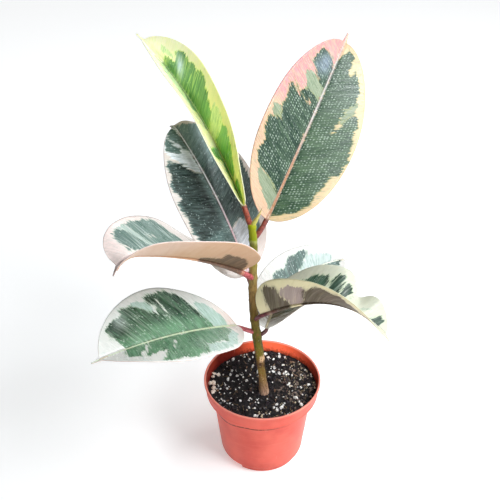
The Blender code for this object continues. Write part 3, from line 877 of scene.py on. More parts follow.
def grow_rod(name, points, radii, resolution):
    """A closed rod along points with a radius at each, all in millimetres, as a mesh."""
    put_down()
    bpy.ops.curve.primitive_nurbs_path_add()
    rod = bpy.context.object
    rod.name = name
    rod.data.splines.clear()
    spline = rod.data.splines.new("POLY")
    spline.points.add(len(points) - 1)
    for control, place, radius in zip(spline.points, points, radii):
        control.co = (*(c * MM for c in place), 1.0)
        control.radius = radius
    rod.data.bevel_depth = MM
    rod.data.bevel_resolution = resolution
    rod.data.use_fill_caps = True
    pick_up(rod)
    bpy.ops.object.convert(target="MESH")
    bpy.ops.object.mode_set(mode="EDIT")
    bpy.ops.mesh.select_all(action="SELECT")
    bpy.ops.mesh.remove_doubles(threshold=0.00001)
    bpy.ops.mesh.normals_make_consistent(inside=False)
    bpy.ops.object.mode_set(mode="OBJECT")
    rod = bpy.context.object
    settle(rod)
    rod.data.shade_smooth()
    return rod


def roughen(piece, depth, scale, shift=0.0):
    """Moves each vertex in or out along its normal by noise, in millimetres."""
    normals = [vertex.normal.copy() for vertex in piece.data.vertices]
    for vertex, normal in zip(piece.data.vertices, normals):
        where = Vector((vertex.co.x, vertex.co.y, vertex.co.z * 0.6)) / (scale * MM)
        vertex.co += normal * depth * MM * noise.noise(where + Vector((shift, 0, 0)))


stem_line = smooth_line(STEM_LINE, 190)
stem_radii = [stem_radius(p.z) + FLARE * swell(p.z, FLARE_HEIGHT, FLARE_WIDTH) for p in stem_line]
stem = grow_rod("woody_stem", stem_line, stem_radii, 7)
roughen(stem, 0.35, 3.0)
roughen(stem, 0.2, 1.1, shift=5.0)
print("stem rises from", round(stem_line[0].z), "to", round(stem_line[-1].z), "mm")

# %% [markdown]
# ## Bark
# The stem ages downwards: bright yellow-green above the top ring, beige and then dull olive with
# brown streaks in the middle, corky beige-brown below with a dark scar where a leaf has dropped and
# a pale patch above it. Height in metres picks the tone, through a colour ramp, and noise stretched
# along the stem lays the streaks in.

# %% Bark colours by height
BARK_LOW, BARK_HIGH = 0.07, 0.25
BARK_BANDS = [
    (0.072, srgb(222, 184, 160)),
    (0.080, srgb(178, 140, 112)),
    (0.090, srgb(142, 112, 68)),
    (0.100, srgb(122, 100, 42)),
    (0.109, srgb(108, 78, 40)),
    (0.120, srgb(98, 86, 18)),
    (0.136, srgb(84, 78, 10)),
    (0.165, srgb(102, 80, 26)),
    (0.176, srgb(140, 108, 60)),
    (0.190, srgb(156, 126, 72)),
    (0.200, srgb(172, 148, 88)),
    (0.215, srgb(150, 138, 50)),
    (0.228, srgb(126, 122, 40)),
    (0.2305, srgb(176, 176, 96)),
    (0.233, srgb(132, 142, 8)),
    (0.246, srgb(162, 166, 16)),
]


def colour_bands(material, value, low, high, bands):
    """A colour ramp through (value, colour) bands between low and high."""
    share = add(material, "ShaderNodeMapRange", Value=value, in1=low, in2=high)
    node = add(material, "ShaderNodeValToRGB", in0=share.outputs[0])
    stops = node.color_ramp.elements
    while len(stops) < len(bands):
        stops.new(0.5)
    for stop, (place, _) in zip(stops, bands):
        stop.position = (place - low) / (high - low)
    for stop, (_, colour) in zip(stops, bands):
        stop.color = colour
    return node.outputs[0]


print("bark:", len(BARK_BANDS), "tones from", BARK_BANDS[0][0], "to", BARK_BANDS[-1][0], "m")

# %% Bark material
SCAR_BAND = (0.1045, 0.1105)
PALE_PATCH_BAND = (0.1105, 0.1175)
GREEN_STARTS = (0.226, 0.234)


def make_bark():
    material, shader = new_material("stem_bark_finish")
    place = own_place(material)
    axes = add(material, "ShaderNodeSeparateXYZ", Vector=place)
    across, height = axes.outputs["X"], axes.outputs["Z"]
    wander = grain(material, place, 120.0, detail=3.0)
    lifted = maths(material, "ADD", height, maths(material, "MULTIPLY_ADD", wander, 0.007, -0.0035))
    base = colour_bands(material, lifted, BARK_LOW, BARK_HIGH, BARK_BANDS)
    streak = grain(material, place, 1000.0, stretch=(1.0, 1.0, 0.12), detail=4.0, rough=0.65)
    fleck = grain(material, place, 700.0, detail=3.0, shift=4.0)
    chip = grain(material, place, 330.0, detail=2.0, shift=7.0)
    old = ramp(material, height, *GREEN_STARTS, 1.0, 0.0)
    dark = maths(material, "MULTIPLY", ramp(material, streak, 0.48, 0.66, 0.0, 0.7), old)
    colour = mix(material, dark, base, srgb(48, 36, 14))
    pale = maths(material, "MULTIPLY", ramp(material, fleck, 0.6, 0.7, 0.0, 0.7),
                 ramp(material, height, 0.16, 0.09))
    colour = mix(material, pale, colour, srgb(214, 190, 164))
    rust = maths(material, "MULTIPLY", ramp(material, chip, 0.58, 0.66, 0.0, 0.6),
                 ramp(material, height, 0.2, 0.13))
    colour = mix(material, rust, colour, srgb(112, 62, 34))
    scar = maths(material, "MULTIPLY", band(material, height, *SCAR_BAND, 0.001),
                 ramp(material, chip, 0.42, 0.56, 0.1, 0.85))
    colour = mix(material, scar, colour, srgb(44, 24, 16))
    spot = maths(material, "MULTIPLY", band(material, lifted, *PALE_PATCH_BAND, 0.0012),
                 ramp(material, fleck, 0.4, 0.5))
    spot = maths(material, "MULTIPLY", spot, ramp(material, across, -0.0034, -0.0016))
    colour = mix(material, maths(material, "MULTIPLY", spot, 0.7), colour, srgb(214, 176, 140))
    wire(material, shader, "Base Color", colour)
    wire(material, shader, "Roughness", ramp(material, height, *GREEN_STARTS, 0.6, 0.36))
    shader.inputs["Specular IOR Level"].default_value = 0.25
    bump(material, shader, maths(material, "ADD", streak, chip), 0.6, 0.0006)
    return material


stem.data.materials.append(make_bark())
hand_over(stem, "stem_bark", "stem")

# %% [markdown]
# ## The bud sheath
# The next leaf waits rolled up in a pale pointed sheath. It is a short rod, as the stem is, that
# starts a little narrower where it leaves the stem and runs out to a point. Its skin goes from
# green-yellow to a straw tip, with fine darker streaks along it.

# %% Bud sheath
BUD_LINE = [(-9.3, -0.3, 244.5), (-6.5, -0.6, 249.5), (-4.4, -0.9, 253.7), (-1.3, -1.2, 261.3)]
BUD_POINTS = 40
BUD_RADIUS = 2.0
BUD_TIP_RADIUS = 0.25


def make_bud():
    line = smooth_line(BUD_LINE, BUD_POINTS)
    radii = []
    for i in range(BUD_POINTS):
        u = i / (BUD_POINTS - 1)
        narrow = 1 - 0.15 * math.exp(-(u / 0.12) ** 2)
        radii.append(BUD_TIP_RADIUS + BUD_RADIUS * (1 - u) ** 0.85 * narrow)
    bud = grow_rod("bud_sheath_leafy", line, radii, 6)
    roughen(bud, 0.12, 2.0)
    return bud


def make_bud_skin():
    material, shader = new_material("bud_skin_finish")
    place = own_place(material)
    height = add(material, "ShaderNodeSeparateXYZ", Vector=place).outputs["Z"]
    streak = grain(material, place, 700.0, stretch=(1.0, 1.0, 0.15), detail=3.0)
    base = mix(material, ramp(material, height, 0.244, 0.256), srgb(204, 200, 84), srgb(226, 208, 130))
    tip = mix(material, ramp(material, height, 0.256, 0.262), base, srgb(224, 190, 160))
    wire(material, shader, "Base Color",
         mix(material, ramp(material, streak, 0.5, 0.7, 0.0, 0.4), tip, srgb(140, 140, 84)))
    shader.inputs["Roughness"].default_value = 0.45
    shader.inputs["Subsurface Weight"].default_value = 0.1
    shader.inputs["Subsurface Radius"].default_value = (0.002, 0.002, 0.001)
    bump(material, shader, streak, 0.25, 0.0003)
    return material


bud = make_bud()
bud.data.materials.append(make_bud_skin())
hand_over(bud, "bud_skin", "bud_sheath")

# %% [markdown]
# ## The shape of a leaf
# A leaf is a thick, stiff oval, folded along its midrib and running out in a drip tip. No operator
# bends a sheet along a line that climbs, turns and rolls, so each leaf starts as a flat grid and
# its vertices are moved by the same rule as the solids follow: where the midrib is, how wide the
# blade is there, and how its two halves rise. Rows crowd towards the ends, columns towards the rib.

# %% Leaf numbers
LEAF_DEFAULTS = {
    "bend": 1.4, "drop": 0.0, "drop_from": 0.7, "fold_end": 0.8, "curl": -5.0, "widest": 0.48,
    "blunt": (0.5, 0.58), "tip": 0.08, "kink": (0.0, 0.7, 0.07), "stalk_radius": 2.1,
}
LEAVES = {
    "leaf_1": {
        "stalk": (11.0, 20.0, 40.0), "stalk_radius": 1.7, "length": 138.0, "half_width": 29.0,
        "heading": (75.0, 29.0), "pitch": (11.0, -16.0), "bend": 1.5, "roll": (6.0, -34.0),
        "fold": 19.0, "blunt": (0.5, 0.6),
    },
    "leaf_2": {
        "stalk": (22.0, -156.0, 36.0), "stalk_radius": 1.8, "length": 159.0, "half_width": 43.0,
        "heading": (233.0, 224.0), "pitch": (30.0, 7.0), "roll": (20.0, 6.0),
        "fold": 22.0, "fold_end": 0.9, "widest": 0.54, "blunt": (0.7, 0.7),
    },
    "leaf_3": {
        "stalk": (14.0, -53.0, 53.0), "stalk_radius": 1.7, "length": 124.0, "half_width": 36.0,
        "heading": (-21.0, -14.0), "pitch": (34.0, -88.0), "bend": 2.1, "drop": 25.0,
        "roll": (36.0, -2.0), "fold": 57.0, "fold_end": 0.3, "curl": 5.0, "blunt": (0.5, 0.7),
        "kink": (35.0, 0.7, 0.07),
    },
    "leaf_4": {
        "stalk": (17.5, 103.0, 20.0), "length": 140.5, "half_width": 42.5,
        "heading": (154.0, 149.0), "pitch": (69.0, 48.0), "drop": -60.0, "drop_from": 0.94,
        "roll": (12.0, 12.0), "fold": 8.0, "blunt": (0.45, 0.5), "tip": 0.04,
    },
    "leaf_5": {
        "stalk": (20.5, -128.0, 48.0), "stalk_radius": 2.3, "length": 150.0, "half_width": 43.0,
        "heading": (239.0, 216.0), "pitch": (39.0, 16.0), "bend": 1.6, "drop": -75.0,
        "drop_from": 0.82, "roll": (-8.0, -9.0), "fold": 21.5, "fold_end": 1.5, "curl": 0.0,
        "widest": 0.6, "blunt": (0.4, 0.42),
    },
    "leaf_6": {
        "stalk": (19.5, 33.0, 47.0), "length": 168.0, "half_width": 42.0,
        "heading": (54.0, 58.0), "pitch": (45.0, 44.0), "roll": (-40.0, -50.0),
        "fold": 20.0, "blunt": (0.55, 0.55),
    },
    "leaf_7": {
        "stalk": (19.0, 146.0, 66.0), "length": 169.0, "half_width": 32.0,
        "heading": (122.0, 141.0), "pitch": (46.0, 28.0), "roll": (26.0, 12.0), "fold": 76.0,
        "fold_end": 0.6, "curl": 5.0, "widest": 0.52, "blunt": (0.35, 0.65),
    },
}
for name, numbers in LEAVES.items():
    LEAVES[name] = {**LEAF_DEFAULTS, **numbers, "node": NODE_HEIGHTS[name]}
print("leaves, length x width, mm:",
      ", ".join(f"{leaf['length']:g} x {2 * leaf['half_width']:g}" for leaf in LEAVES.values()))


# %% [markdown]
# ## The rule that bends a leaf
# Two shares name a point of a blade: v runs from its base to its tip, and t from the left margin
# at -1, over the midrib at 0, to the right margin at 1. The midrib is walked in short steps that
# turn from one heading and pitch to another. Across it each half rises by the fold and curls over
# in an arc.

# %% The midrib and the outline
MIDRIB_STEPS = 240
NARROWEST = 0.7


def smooth_step(x):
    x = np.clip(x, 0.0, 1.0)
    return x * x * (3 - 2 * x)


def direction(heading, climb):
    h, c = math.radians(heading), math.radians(climb)
    return Vector((math.cos(c) * math.cos(h), math.cos(c) * math.sin(h), math.sin(c)))


def midrib_angles(leaf, v):
    """Heading and pitch of the midrib, in radians, at shares v of the blade's length."""
    late = np.maximum(v, 0.000001) ** leaf["bend"]
    pitch = leaf["pitch"][0] + (leaf["pitch"][1] - leaf["pitch"][0]) * late
    pitch = pitch + leaf["drop"] * smooth_step((v - leaf["drop_from"]) / (1 - leaf["drop_from"]))
    heading = leaf["heading"][0] + (leaf["heading"][1] - leaf["heading"][0]) * v
    return np.radians(heading), np.radians(pitch)


def midrib(leaf):
    """The midrib's points from the base of the blade to its tip."""
    reach, heading, climb = leaf["stalk"]
    base = np.array(stem_at(leaf["node"]) + reach * direction(heading, climb))
    heading, pitch = midrib_angles(leaf, (np.arange(MIDRIB_STEPS) + 0.5) / MIDRIB_STEPS)
    ways = np.stack([np.cos(pitch) * np.cos(heading), np.cos(pitch) * np.sin(heading),
                     np.sin(pitch)], axis=1)
    steps = ways * leaf["length"] / MIDRIB_STEPS
    return np.vstack([base, base + np.cumsum(steps, axis=0)])


def half_width(leaf, v):
    """Outline: an oval whose widest place can move, running out in a narrow drip tip."""
    tip = leaf["tip"]
    body = np.clip(v / (1 - 0.6 * tip), 0.0, 1.0)
    s = body ** (math.log(0.5) / math.log(leaf["widest"]))
    blunt = leaf["blunt"][0] + (leaf["blunt"][1] - leaf["blunt"][0]) * s
    oval = np.maximum(4 * s * (1 - s), 0.0) ** blunt
    near_tip = smooth_step((v - (1 - 4 * tip)) / (3 * tip))
    tail = 0.07 * near_tip * np.clip((1 - v) / tip, 0.0, 1.0) ** 0.8
    return leaf["half_width"] * np.hypot(oval, tail)


# %% The blade's own directions, and its points
def blade_frames(leaf, v):
    """Midrib point, direction, right-hand side and upper side of the blade at shares v."""
    rib = midrib(leaf)
    shares = np.linspace(0.0, 1.0, MIDRIB_STEPS + 1)
    point = np.stack([np.interp(v, shares, rib[:, axis]) for axis in range(3)], axis=-1)
    heading, pitch = midrib_angles(leaf, v)
    along = np.stack([np.cos(pitch) * np.cos(heading), np.cos(pitch) * np.sin(heading),
                      np.sin(pitch)], axis=-1)
    level = np.stack([np.sin(heading), -np.cos(heading), np.zeros_like(heading)], axis=-1)
    over = np.cross(level, along)
    roll = np.radians(leaf["roll"][0] + (leaf["roll"][1] - leaf["roll"][0]) * v)[..., None]
    side = level * np.cos(roll) + over * np.sin(roll)
    up = over * np.cos(roll) - level * np.sin(roll)
    return point, along, side, up


def blade_points(leaf, v, t, relief=None):
    """Points of the blade's upper face: v from base to tip, t from left margin -1 to right 1."""
    point, _, side, up = blade_frames(leaf, v)
    out = np.abs(t) * np.maximum(half_width(leaf, v), NARROWEST)
    fold = leaf["fold"] * (1 + (leaf["fold_end"] - 1) * v)
    angle, place, length = leaf["kink"]
    fold = fold - np.where(t < 0, angle * np.exp(-((v - place) / length) ** 2), 0.0)
    fold = np.radians(fold)
    turn = math.radians(leaf["curl"]) / leaf["half_width"] or 1e-9
    across = (np.sin(fold + turn * out) - np.sin(fold)) / turn
    rise = (np.cos(fold) - np.cos(fold + turn * out)) / turn
    lift = 0.0 if relief is None else relief
    lean = fold + turn * out
    across = across - lift * np.sin(lean)
    rise = rise + lift * np.cos(lean)
    return point + (np.where(t < 0, -across, across))[..., None] * side + rise[..., None] * up


tips = {name: midrib(leaf)[-1] for name, leaf in LEAVES.items()}
print("highest tip:", max(tips, key=lambda name: tips[name][2]))

# %% [markdown]
# ## Relief and the two faces
# Up close a leaf isn't smooth: the midrib lies in a shallow channel, the blade quilts a little
# between its side veins, and it undulates towards the margin. A displacement node could draw this,
# but it would not be in the mesh, so the relief is added along the blade's own normal while its
# vertices are placed. The side veins leave the midrib at a slant, so everything that follows them
# is measured along the slant: that is the `vein` coordinate.

# %% Relief, and coordinates that follow the veins
VEIN_SLANT = 0.5
VEIN_SPACING = 7.0
COLUMNS = 64
ROWS = 150
BLADE_THICKNESS = 0.6
print("side veins along the longest leaf:",
      round(max(leaf["length"] for leaf in LEAVES.values()) / VEIN_SPACING))


def vein_place(leaf, v, t):
    """(distance along the midrib to where this point's vein starts, distance out), millimetres."""
    out = t * half_width(leaf, v)
    return v * leaf["length"] - VEIN_SLANT * np.abs(out), out


def relief(leaf, v, t):
    """Height over the smooth blade in millimetres: midrib and its channel, quilting, waves."""
    vein, out = vein_place(leaf, v, t)
    away = np.abs(out)
    room = smooth_step(half_width(leaf, v) / 8.0)
    ridge = 0.22 * np.exp(-(away / 0.7) ** 2) - 0.3 * np.exp(-((away - 1.7) / 0.7) ** 2)
    quilt = 0.12 * np.cos(math.tau * vein / VEIN_SPACING) * smooth_step((away - 2) / 6)
    wave = 0.7 * np.sin(math.tau * v * 2.3 + np.where(t < 0, 1.1, 0.2)) * np.abs(t) ** 2
    fade = 1 - np.abs(t) ** 6
    return room * (ridge + quilt * fade + wave)


# %% The flat grid, and what its vertices carry
def flat_grid(name):
    """A flat grid, and the shares (v, t) of a blade that each of its vertices stands for."""
    put_down()
    bpy.ops.mesh.primitive_grid_add(x_subdivisions=COLUMNS, y_subdivisions=ROWS, size=2.0)
    blade = bpy.context.object
    blade.name = name
    flat = np.array([vertex.co for vertex in blade.data.vertices])
    even = (flat[:, 1] + 1) / 2
    v = 0.5 * even + 0.25 * (1 - np.cos(math.pi * even))
    t = np.sign(flat[:, 0]) * np.abs(flat[:, 0]) ** 1.5
    return blade, v, t


def give_values(piece, name, values):
    """Stores one number at each vertex, for a material to read."""
    layer = piece.data.attributes.new(name, "FLOAT", "POINT")
    layer.data.foreach_set("value", np.asarray(values, dtype=np.float32))


def give_plan(piece, across, along):
    """A UV map in metres: how far along the midrib the vein starts, and how far out it has run."""
    plan = piece.data.uv_layers.new(name="vein_plan")
    corners = np.array([loop.vertex_index for loop in piece.data.loops])
    where = np.stack([across[corners], along[corners]], axis=1) * MM
    plan.data.foreach_set("uv", where.astype(np.float32).ravel())


print("values for a material go to the vertices, and the vein coordinate to a UV map")

# %% [markdown]
# ## Where each leaf is green
# Variegation isn't random: a patch starts at a vein and ends at a vein, its outer end is torn into
# teeth, and a grey-green tone often lies between the deep green and the cream. Noise alone can't
# place such patches, and an image would fix their fineness. So each is outlined on the flat leaf
# by a few corners (share of the length from base to tip, share of the half-width with left
# negative). `deep` ones are green, `pale` ones grey-green, and `bare` ones are cut out of the
# green. A vertex stores how far inside a patch it is, and the material tears the edge later.

# %% Patches, drawn on the flat leaves
PATCHES = {
    "leaf_1": {
        "deep": [
            [(0.10, 0.0), (0.20, -0.30), (0.33, -0.45), (0.42, -0.64), (0.47, -0.55), (0.56, -0.72),
             (0.64, -0.83), (0.70, -0.76), (0.68, -0.60), (0.60, -0.35), (0.55, -0.15), (0.50, 0.0)],
            [(0.35, -0.46), (0.38, -0.62), (0.42, -0.60), (0.44, -0.48), (0.42, -0.36)],
            [(0.07, 0.0), (0.11, 0.40), (0.14, 0.80), (0.20, 0.90), (0.35, 0.86), (0.48, 0.78),
             (0.52, 0.20), (0.50, 0.0)],
            [(0.50, 0.20), (0.52, 0.60), (0.58, 0.80), (0.66, 0.70), (0.60, 0.30)],
            [(0.76, 0.06), (0.78, 0.16), (0.84, 0.42), (0.90, 0.36), (0.92, 0.0), (0.90, -0.06),
             (0.84, 0.0)],
        ],
        "pale": [
            [(0.55, -0.12), (0.60, -0.35), (0.68, -0.60), (0.74, -0.55), (0.80, -0.50),
             (0.87, -0.45), (0.86, -0.15), (0.80, 0.10), (0.72, 0.06), (0.66, -0.08)],
        ],
        "bare": [],
    },
    "leaf_2": {
        "deep": [
            [(0.20, 0.0), (0.26, 0.35), (0.30, 0.60), (0.36, 0.85), (0.45, 0.93), (0.52, 0.86),
             (0.575, 0.86), (0.56, 0.70), (0.53, 0.60), (0.54, 0.45), (0.60, 0.58), (0.63, 0.66),
             (0.68, 0.83), (0.73, 0.88), (0.735, 0.76), (0.82, 0.82), (0.86, 0.82), (0.85, 0.50),
             (0.83, 0.25), (0.80, 0.0)],
            [(0.12, -0.02), (0.11, -0.38), (0.16, -0.45), (0.22, -0.50), (0.30, -0.72), (0.34, -0.62),
             (0.45, -0.60), (0.52, -0.82), (0.60, -0.93), (0.66, -0.86), (0.70, -0.90), (0.76, -0.92),
             (0.71, -0.65), (0.64, -0.42), (0.75, -0.52), (0.79, -0.62), (0.86, -0.52),
             (0.84, -0.20), (0.82, 0.0)],
        ],
        "pale": [
            [(0.09, 0.08), (0.12, 0.55), (0.19, 0.76), (0.28, 0.72), (0.26, 0.35), (0.20, 0.04)],
            [(0.54, 0.45), (0.56, 0.75), (0.63, 0.84), (0.68, 0.83), (0.62, 0.60)],
            [(0.12, -0.40), (0.14, -0.70), (0.22, -0.86), (0.45, -0.96), (0.54, -0.85), (0.45, -0.60),
             (0.30, -0.70), (0.20, -0.48)],
        ],
        "bare": [
            [(0.52, -0.04), (0.60, -0.30), (0.67, -0.52), (0.66, -0.53), (0.58, -0.30)],
            [(0.70, -0.04), (0.78, -0.38), (0.86, -0.88), (0.845, -0.88), (0.76, -0.42)],
            [(0.48, 0.30), (0.50, 0.75), (0.507, 0.75), (0.487, 0.30)],
        ],
    },
    "leaf_3": {
        "deep": [
            [(0.09, -0.05), (0.10, 0.30), (0.13, 0.82), (0.17, 0.90), (0.22, 0.72), (0.23, 0.40),
             (0.25, 0.0), (0.20, -0.30), (0.12, -0.80), (0.05, -0.90), (0.06, -0.40)],
            [(0.32, -0.10), (0.36, 0.30), (0.39, 0.55), (0.46, 0.75), (0.49, 0.86), (0.53, 0.78),
             (0.55, 0.68), (0.585, 0.86), (0.62, 0.70), (0.68, 0.50), (0.73, 0.05), (0.66, -0.06),
             (0.50, -0.10)],
            [(0.30, -0.66), (0.34, -0.54), (0.42, -0.30), (0.465, -0.30), (0.48, -0.70), (0.41, -0.74)],
            [(0.455, -0.25), (0.545, -0.12), (0.57, -0.50), (0.585, -0.80), (0.53, -0.78)],
            [(0.55, -0.12), (0.61, -0.14), (0.635, -0.55), (0.60, -0.66), (0.58, -0.50)],
            [(0.80, -0.05), (0.87, -0.03), (0.90, -0.66), (0.86, -0.42)],
        ],
        "pale": [
            [(0.235, 0.45), (0.27, 0.65), (0.33, 0.76), (0.40, 0.70), (0.40, 0.50), (0.37, 0.10),
             (0.35, -0.10), (0.35, -0.30), (0.22, -0.72), (0.13, -0.75), (0.20, -0.30), (0.25, 0.0)],
            [(0.70, 0.10), (0.725, 0.50), (0.72, 0.92), (0.77, 0.92), (0.80, 0.50), (0.78, 0.05)],
            [(0.68, -0.10), (0.72, -0.12), (0.79, -0.44), (0.74, -0.36)],
        ],
        "bare": [
            [(0.462, -0.25), (0.475, -0.30), (0.515, -0.72), (0.50, -0.72)],
        ],
    },
    "leaf_4": {
        "deep": [
            [(0.04, 0.0), (0.10, 0.50), (0.20, 0.75), (0.40, 0.88), (0.60, 0.91), (0.80, 0.92),
             (0.90, 0.91), (0.93, 0.86), (0.955, 0.66), (0.968, 0.40), (0.965, 0.0)],
            [(0.04, 0.0), (0.10, -0.50), (0.20, -0.75), (0.33, -0.88), (0.40, -0.93), (0.43, -0.94),
             (0.45, -0.87), (0.48, -0.91), (0.51, -0.85), (0.545, -0.92), (0.59, -0.95),
             (0.617, -0.82), (0.66, -0.91), (0.71, -0.94), (0.766, -0.85), (0.816, -0.95),
             (0.834, -0.85), (0.80, -0.60), (0.758, -0.44), (0.70, -0.24), (0.655, 0.0)],
            [(0.972, -0.95), (0.95, -0.92), (0.91, -0.44), (0.87, -0.24), (0.80, -0.03),
             (0.845, -0.01), (0.90, -0.04), (0.95, -0.14), (0.978, -0.40)],
            [(0.95, -0.93), (0.93, -0.97), (0.89, -0.88), (0.85, -0.58), (0.826, -0.34),
             (0.85, -0.30), (0.89, -0.48), (0.93, -0.72)],
        ],
        "pale": [
            [(0.14, 0.02), (0.13, 0.42), (0.20, 0.52), (0.262, 0.57), (0.32, 0.28), (0.288, 0.03)],
            [(0.65, 0.0), (0.70, -0.22), (0.76, -0.40), (0.815, -0.58), (0.86, -0.80),
             (0.89, -0.95), (0.95, -0.98), (0.975, -0.90), (0.98, 0.0)],
        ],
        "bare": [
            [(0.14, 0.01), (0.13, 0.42), (0.20, 0.52), (0.262, 0.57), (0.32, 0.28), (0.288, 0.02)],
        ],
    },
    "leaf_5": {
        "deep": [
            [(0.02, 0.90), (0.06, 0.66), (0.12, 0.42), (0.20, 0.28), (0.35, 0.12), (0.45, -0.02),
             (0.45, -0.12), (0.33, -0.25), (0.38, -0.48), (0.20, -0.60), (0.10, -0.55), (0.03, -0.20)],
            [(0.44, 0.48), (0.50, 0.70), (0.57, 0.88), (0.61, 0.92), (0.70, 0.86), (0.83, 0.86),
             (0.78, 0.66), (0.745, 0.50), (0.72, 0.30), (0.68, 0.22), (0.58, 0.30)],
            [(0.71, 0.20), (0.76, 0.38), (0.84, 0.72), (0.875, 0.82), (0.885, 0.50), (0.87, 0.20),
             (0.84, 0.10)],
        ],
        "pale": [
            [(0.70, 0.24), (0.76, 0.60), (0.83, 0.87), (0.87, 0.86), (0.80, 0.50), (0.73, 0.22)],
        ],
        "bare": [
            [(0.70, 0.20), (0.80, 0.55), (0.87, 0.84), (0.86, 0.86), (0.79, 0.60), (0.69, 0.22)],
            [(0.64, 0.42), (0.69, 0.45), (0.70, 0.53), (0.66, 0.52)],
        ],
    },
    "leaf_6": {
        "deep": [
            [(0.03, 0.02), (0.045, 0.45), (0.08, 0.76), (0.15, 0.86), (0.19, 0.72), (0.25, 0.81),
             (0.30, 0.81), (0.33, 0.93), (0.42, 0.97), (0.52, 0.88), (0.62, 0.89), (0.64, 0.76),
             (0.70, 0.78), (0.75, 0.84), (0.84, 0.72), (0.81, 0.52), (0.83, 0.42), (0.90, 0.70),
             (0.925, 0.50), (0.88, 0.15), (0.84, 0.0)],
            [(0.13, 0.0), (0.18, -0.40), (0.22, -0.80), (0.26, -0.88), (0.33, -0.80), (0.42, -0.91),
             (0.44, -0.86), (0.455, -0.64), (0.52, -0.78), (0.58, -0.74), (0.62, -0.86),
             (0.64, -0.78), (0.605, -0.52), (0.64, -0.44), (0.62, 0.0)],
            [(0.69, 0.0), (0.73, -0.40), (0.79, -0.72), (0.85, -0.77), (0.865, -0.60), (0.85, -0.20),
             (0.81, 0.0)],
        ],
        "pale": [
            [(0.04, 0.0), (0.05, -0.25), (0.09, -0.46), (0.17, -0.76), (0.22, -0.82), (0.18, -0.40),
             (0.14, 0.0)],
            [(0.61, 0.0), (0.64, -0.44), (0.66, -0.50), (0.72, -0.66), (0.735, -0.50), (0.70, 0.0)],
            [(0.43, -0.88), (0.455, -0.60), (0.51, -0.76), (0.50, -0.94)],
            [(0.56, 0.58), (0.64, 0.80), (0.70, 0.82), (0.68, 0.64), (0.61, 0.48), (0.58, 0.50)],
        ],
        "bare": [
            [(0.585, -0.20), (0.605, -0.50), (0.62, -0.52), (0.595, -0.20)],
            [(0.63, 0.0), (0.65, -0.30), (0.715, -0.45), (0.69, 0.0)],
            [(0.50, 0.46), (0.56, 0.62), (0.64, 0.80), (0.69, 0.80), (0.64, 0.60), (0.60, 0.50)],
        ],
    },
    "leaf_7": {
        "deep": [
            [(0.03, -0.2), (0.03, 0.25), (0.10, 0.46), (0.17, 0.45), (0.24, 0.62), (0.32, 0.76),
             (0.375, 0.62), (0.345, 0.40), (0.33, 0.10), (0.31, 0.0), (0.29, -0.20),
             (0.275, -0.85), (0.235, -0.85), (0.22, -0.25), (0.15, -0.30), (0.09, -0.35)],
            [(0.40, -0.15), (0.405, 0.10), (0.44, 0.40), (0.50, 0.55), (0.57, 0.72), (0.62, 0.78),
             (0.70, 0.70), (0.76, 0.78), (0.785, 0.62), (0.76, 0.36), (0.825, 0.27), (0.80, 0.08),
             (0.80, -0.10), (0.60, -0.12), (0.52, -0.35), (0.49, -0.12)],
        ],
        "pale": [
            [(0.32, 0.0), (0.345, 0.40), (0.38, 0.72), (0.47, 0.72), (0.45, 0.40), (0.41, 0.0)],
            [(0.50, -0.12), (0.80, -0.10), (0.86, -0.30), (0.75, -0.60), (0.55, -0.50)],
            [(0.78, 0.50), (0.76, 0.36), (0.84, 0.30), (0.86, 0.50)],
        ],
        "bare": [
            [(0.115, 0.0), (0.125, 0.50), (0.15, 0.50), (0.14, 0.0)],
        ],
    },
}

# %% How far inside a patch a point is
FAR_OUTSIDE = -40.0


def depth_inside(v, t, corners, leaf):
    """How far inside a patch each point is, in millimetres on the flat leaf; negative outside."""
    size = np.array([leaf["length"], leaf["half_width"]])
    points = np.stack([v, t], axis=1) * size
    ring = np.array(corners) * size
    nearest = np.full(len(points), np.inf)
    inside = np.zeros(len(points), dtype=bool)
    for start, end in zip(ring, np.roll(ring, -1, axis=0)):
        edge = end - start
        share = np.clip((points - start) @ edge / (edge @ edge), 0.0, 1.0)
        gap = points - (start + share[:, None] * edge)
        nearest = np.minimum(nearest, np.hypot(gap[:, 0], gap[:, 1]))
        crosses = (start[1] > points[:, 1]) != (end[1] > points[:, 1])
        rise = edge[1] if edge[1] else 1e-9
        at = start[0] + (points[:, 1] - start[1]) * edge[0] / rise
        inside ^= crosses & (points[:, 0] < at)
    return np.where(inside, nearest, -nearest)


def patch_depth(kind, name, v, t):
    """The depth inside the nearest patch of a kind, which `bare` ones are cut out of."""
    leaf = LEAVES[name]
    depth = np.full(len(v), FAR_OUTSIDE)
    for corners in PATCHES[name][kind]:
        depth = np.maximum(depth, depth_inside(v, t, corners, leaf))
    if kind == "deep":
        for corners in PATCHES[name]["bare"]:
            depth = np.minimum(depth, -depth_inside(v, t, corners, leaf))
    return depth


for name, kinds in PATCHES.items():
    print(name, "patches:", ", ".join(f"{len(rings)} {kind}" for kind, rings in kinds.items()))


# %% [markdown]
# ## Leaf colours
# Each leaf has aged its own way: the newest is lime and yellow, the next pink at its edge, the old
# ones cream and grey-green. So the finish is one recipe, and every leaf has its own small palette:
# deep green and its lighter streaks, the grey-green between, the olive fringe of a patch, the
# margin and its blush, the fine veins, the midrib from base to tip, and the same for its back.
# `streaks`, `wet` and `mottle` say how strongly the veins are drawn, how much water has dried on it,
# and how much grey-green is breathed into the cream. `scatter` is how far the dried drops stray from
# their rows. `channel` is how dark the groove beside the midrib is, partly the rib's own dark colour
# and partly painted shade in the groove. A further colour is painted light in one place: a painted
# reflection of the sky on leaf_2, leaf_4, leaf_6 and leaf_7, and painted shade at the base of the
# oldest leaf, leaf_1. `glow` is how much light passes through the young blade, and `red_rib` how far
# the stalk's red runs on along the back of the midrib, as a share of its length.

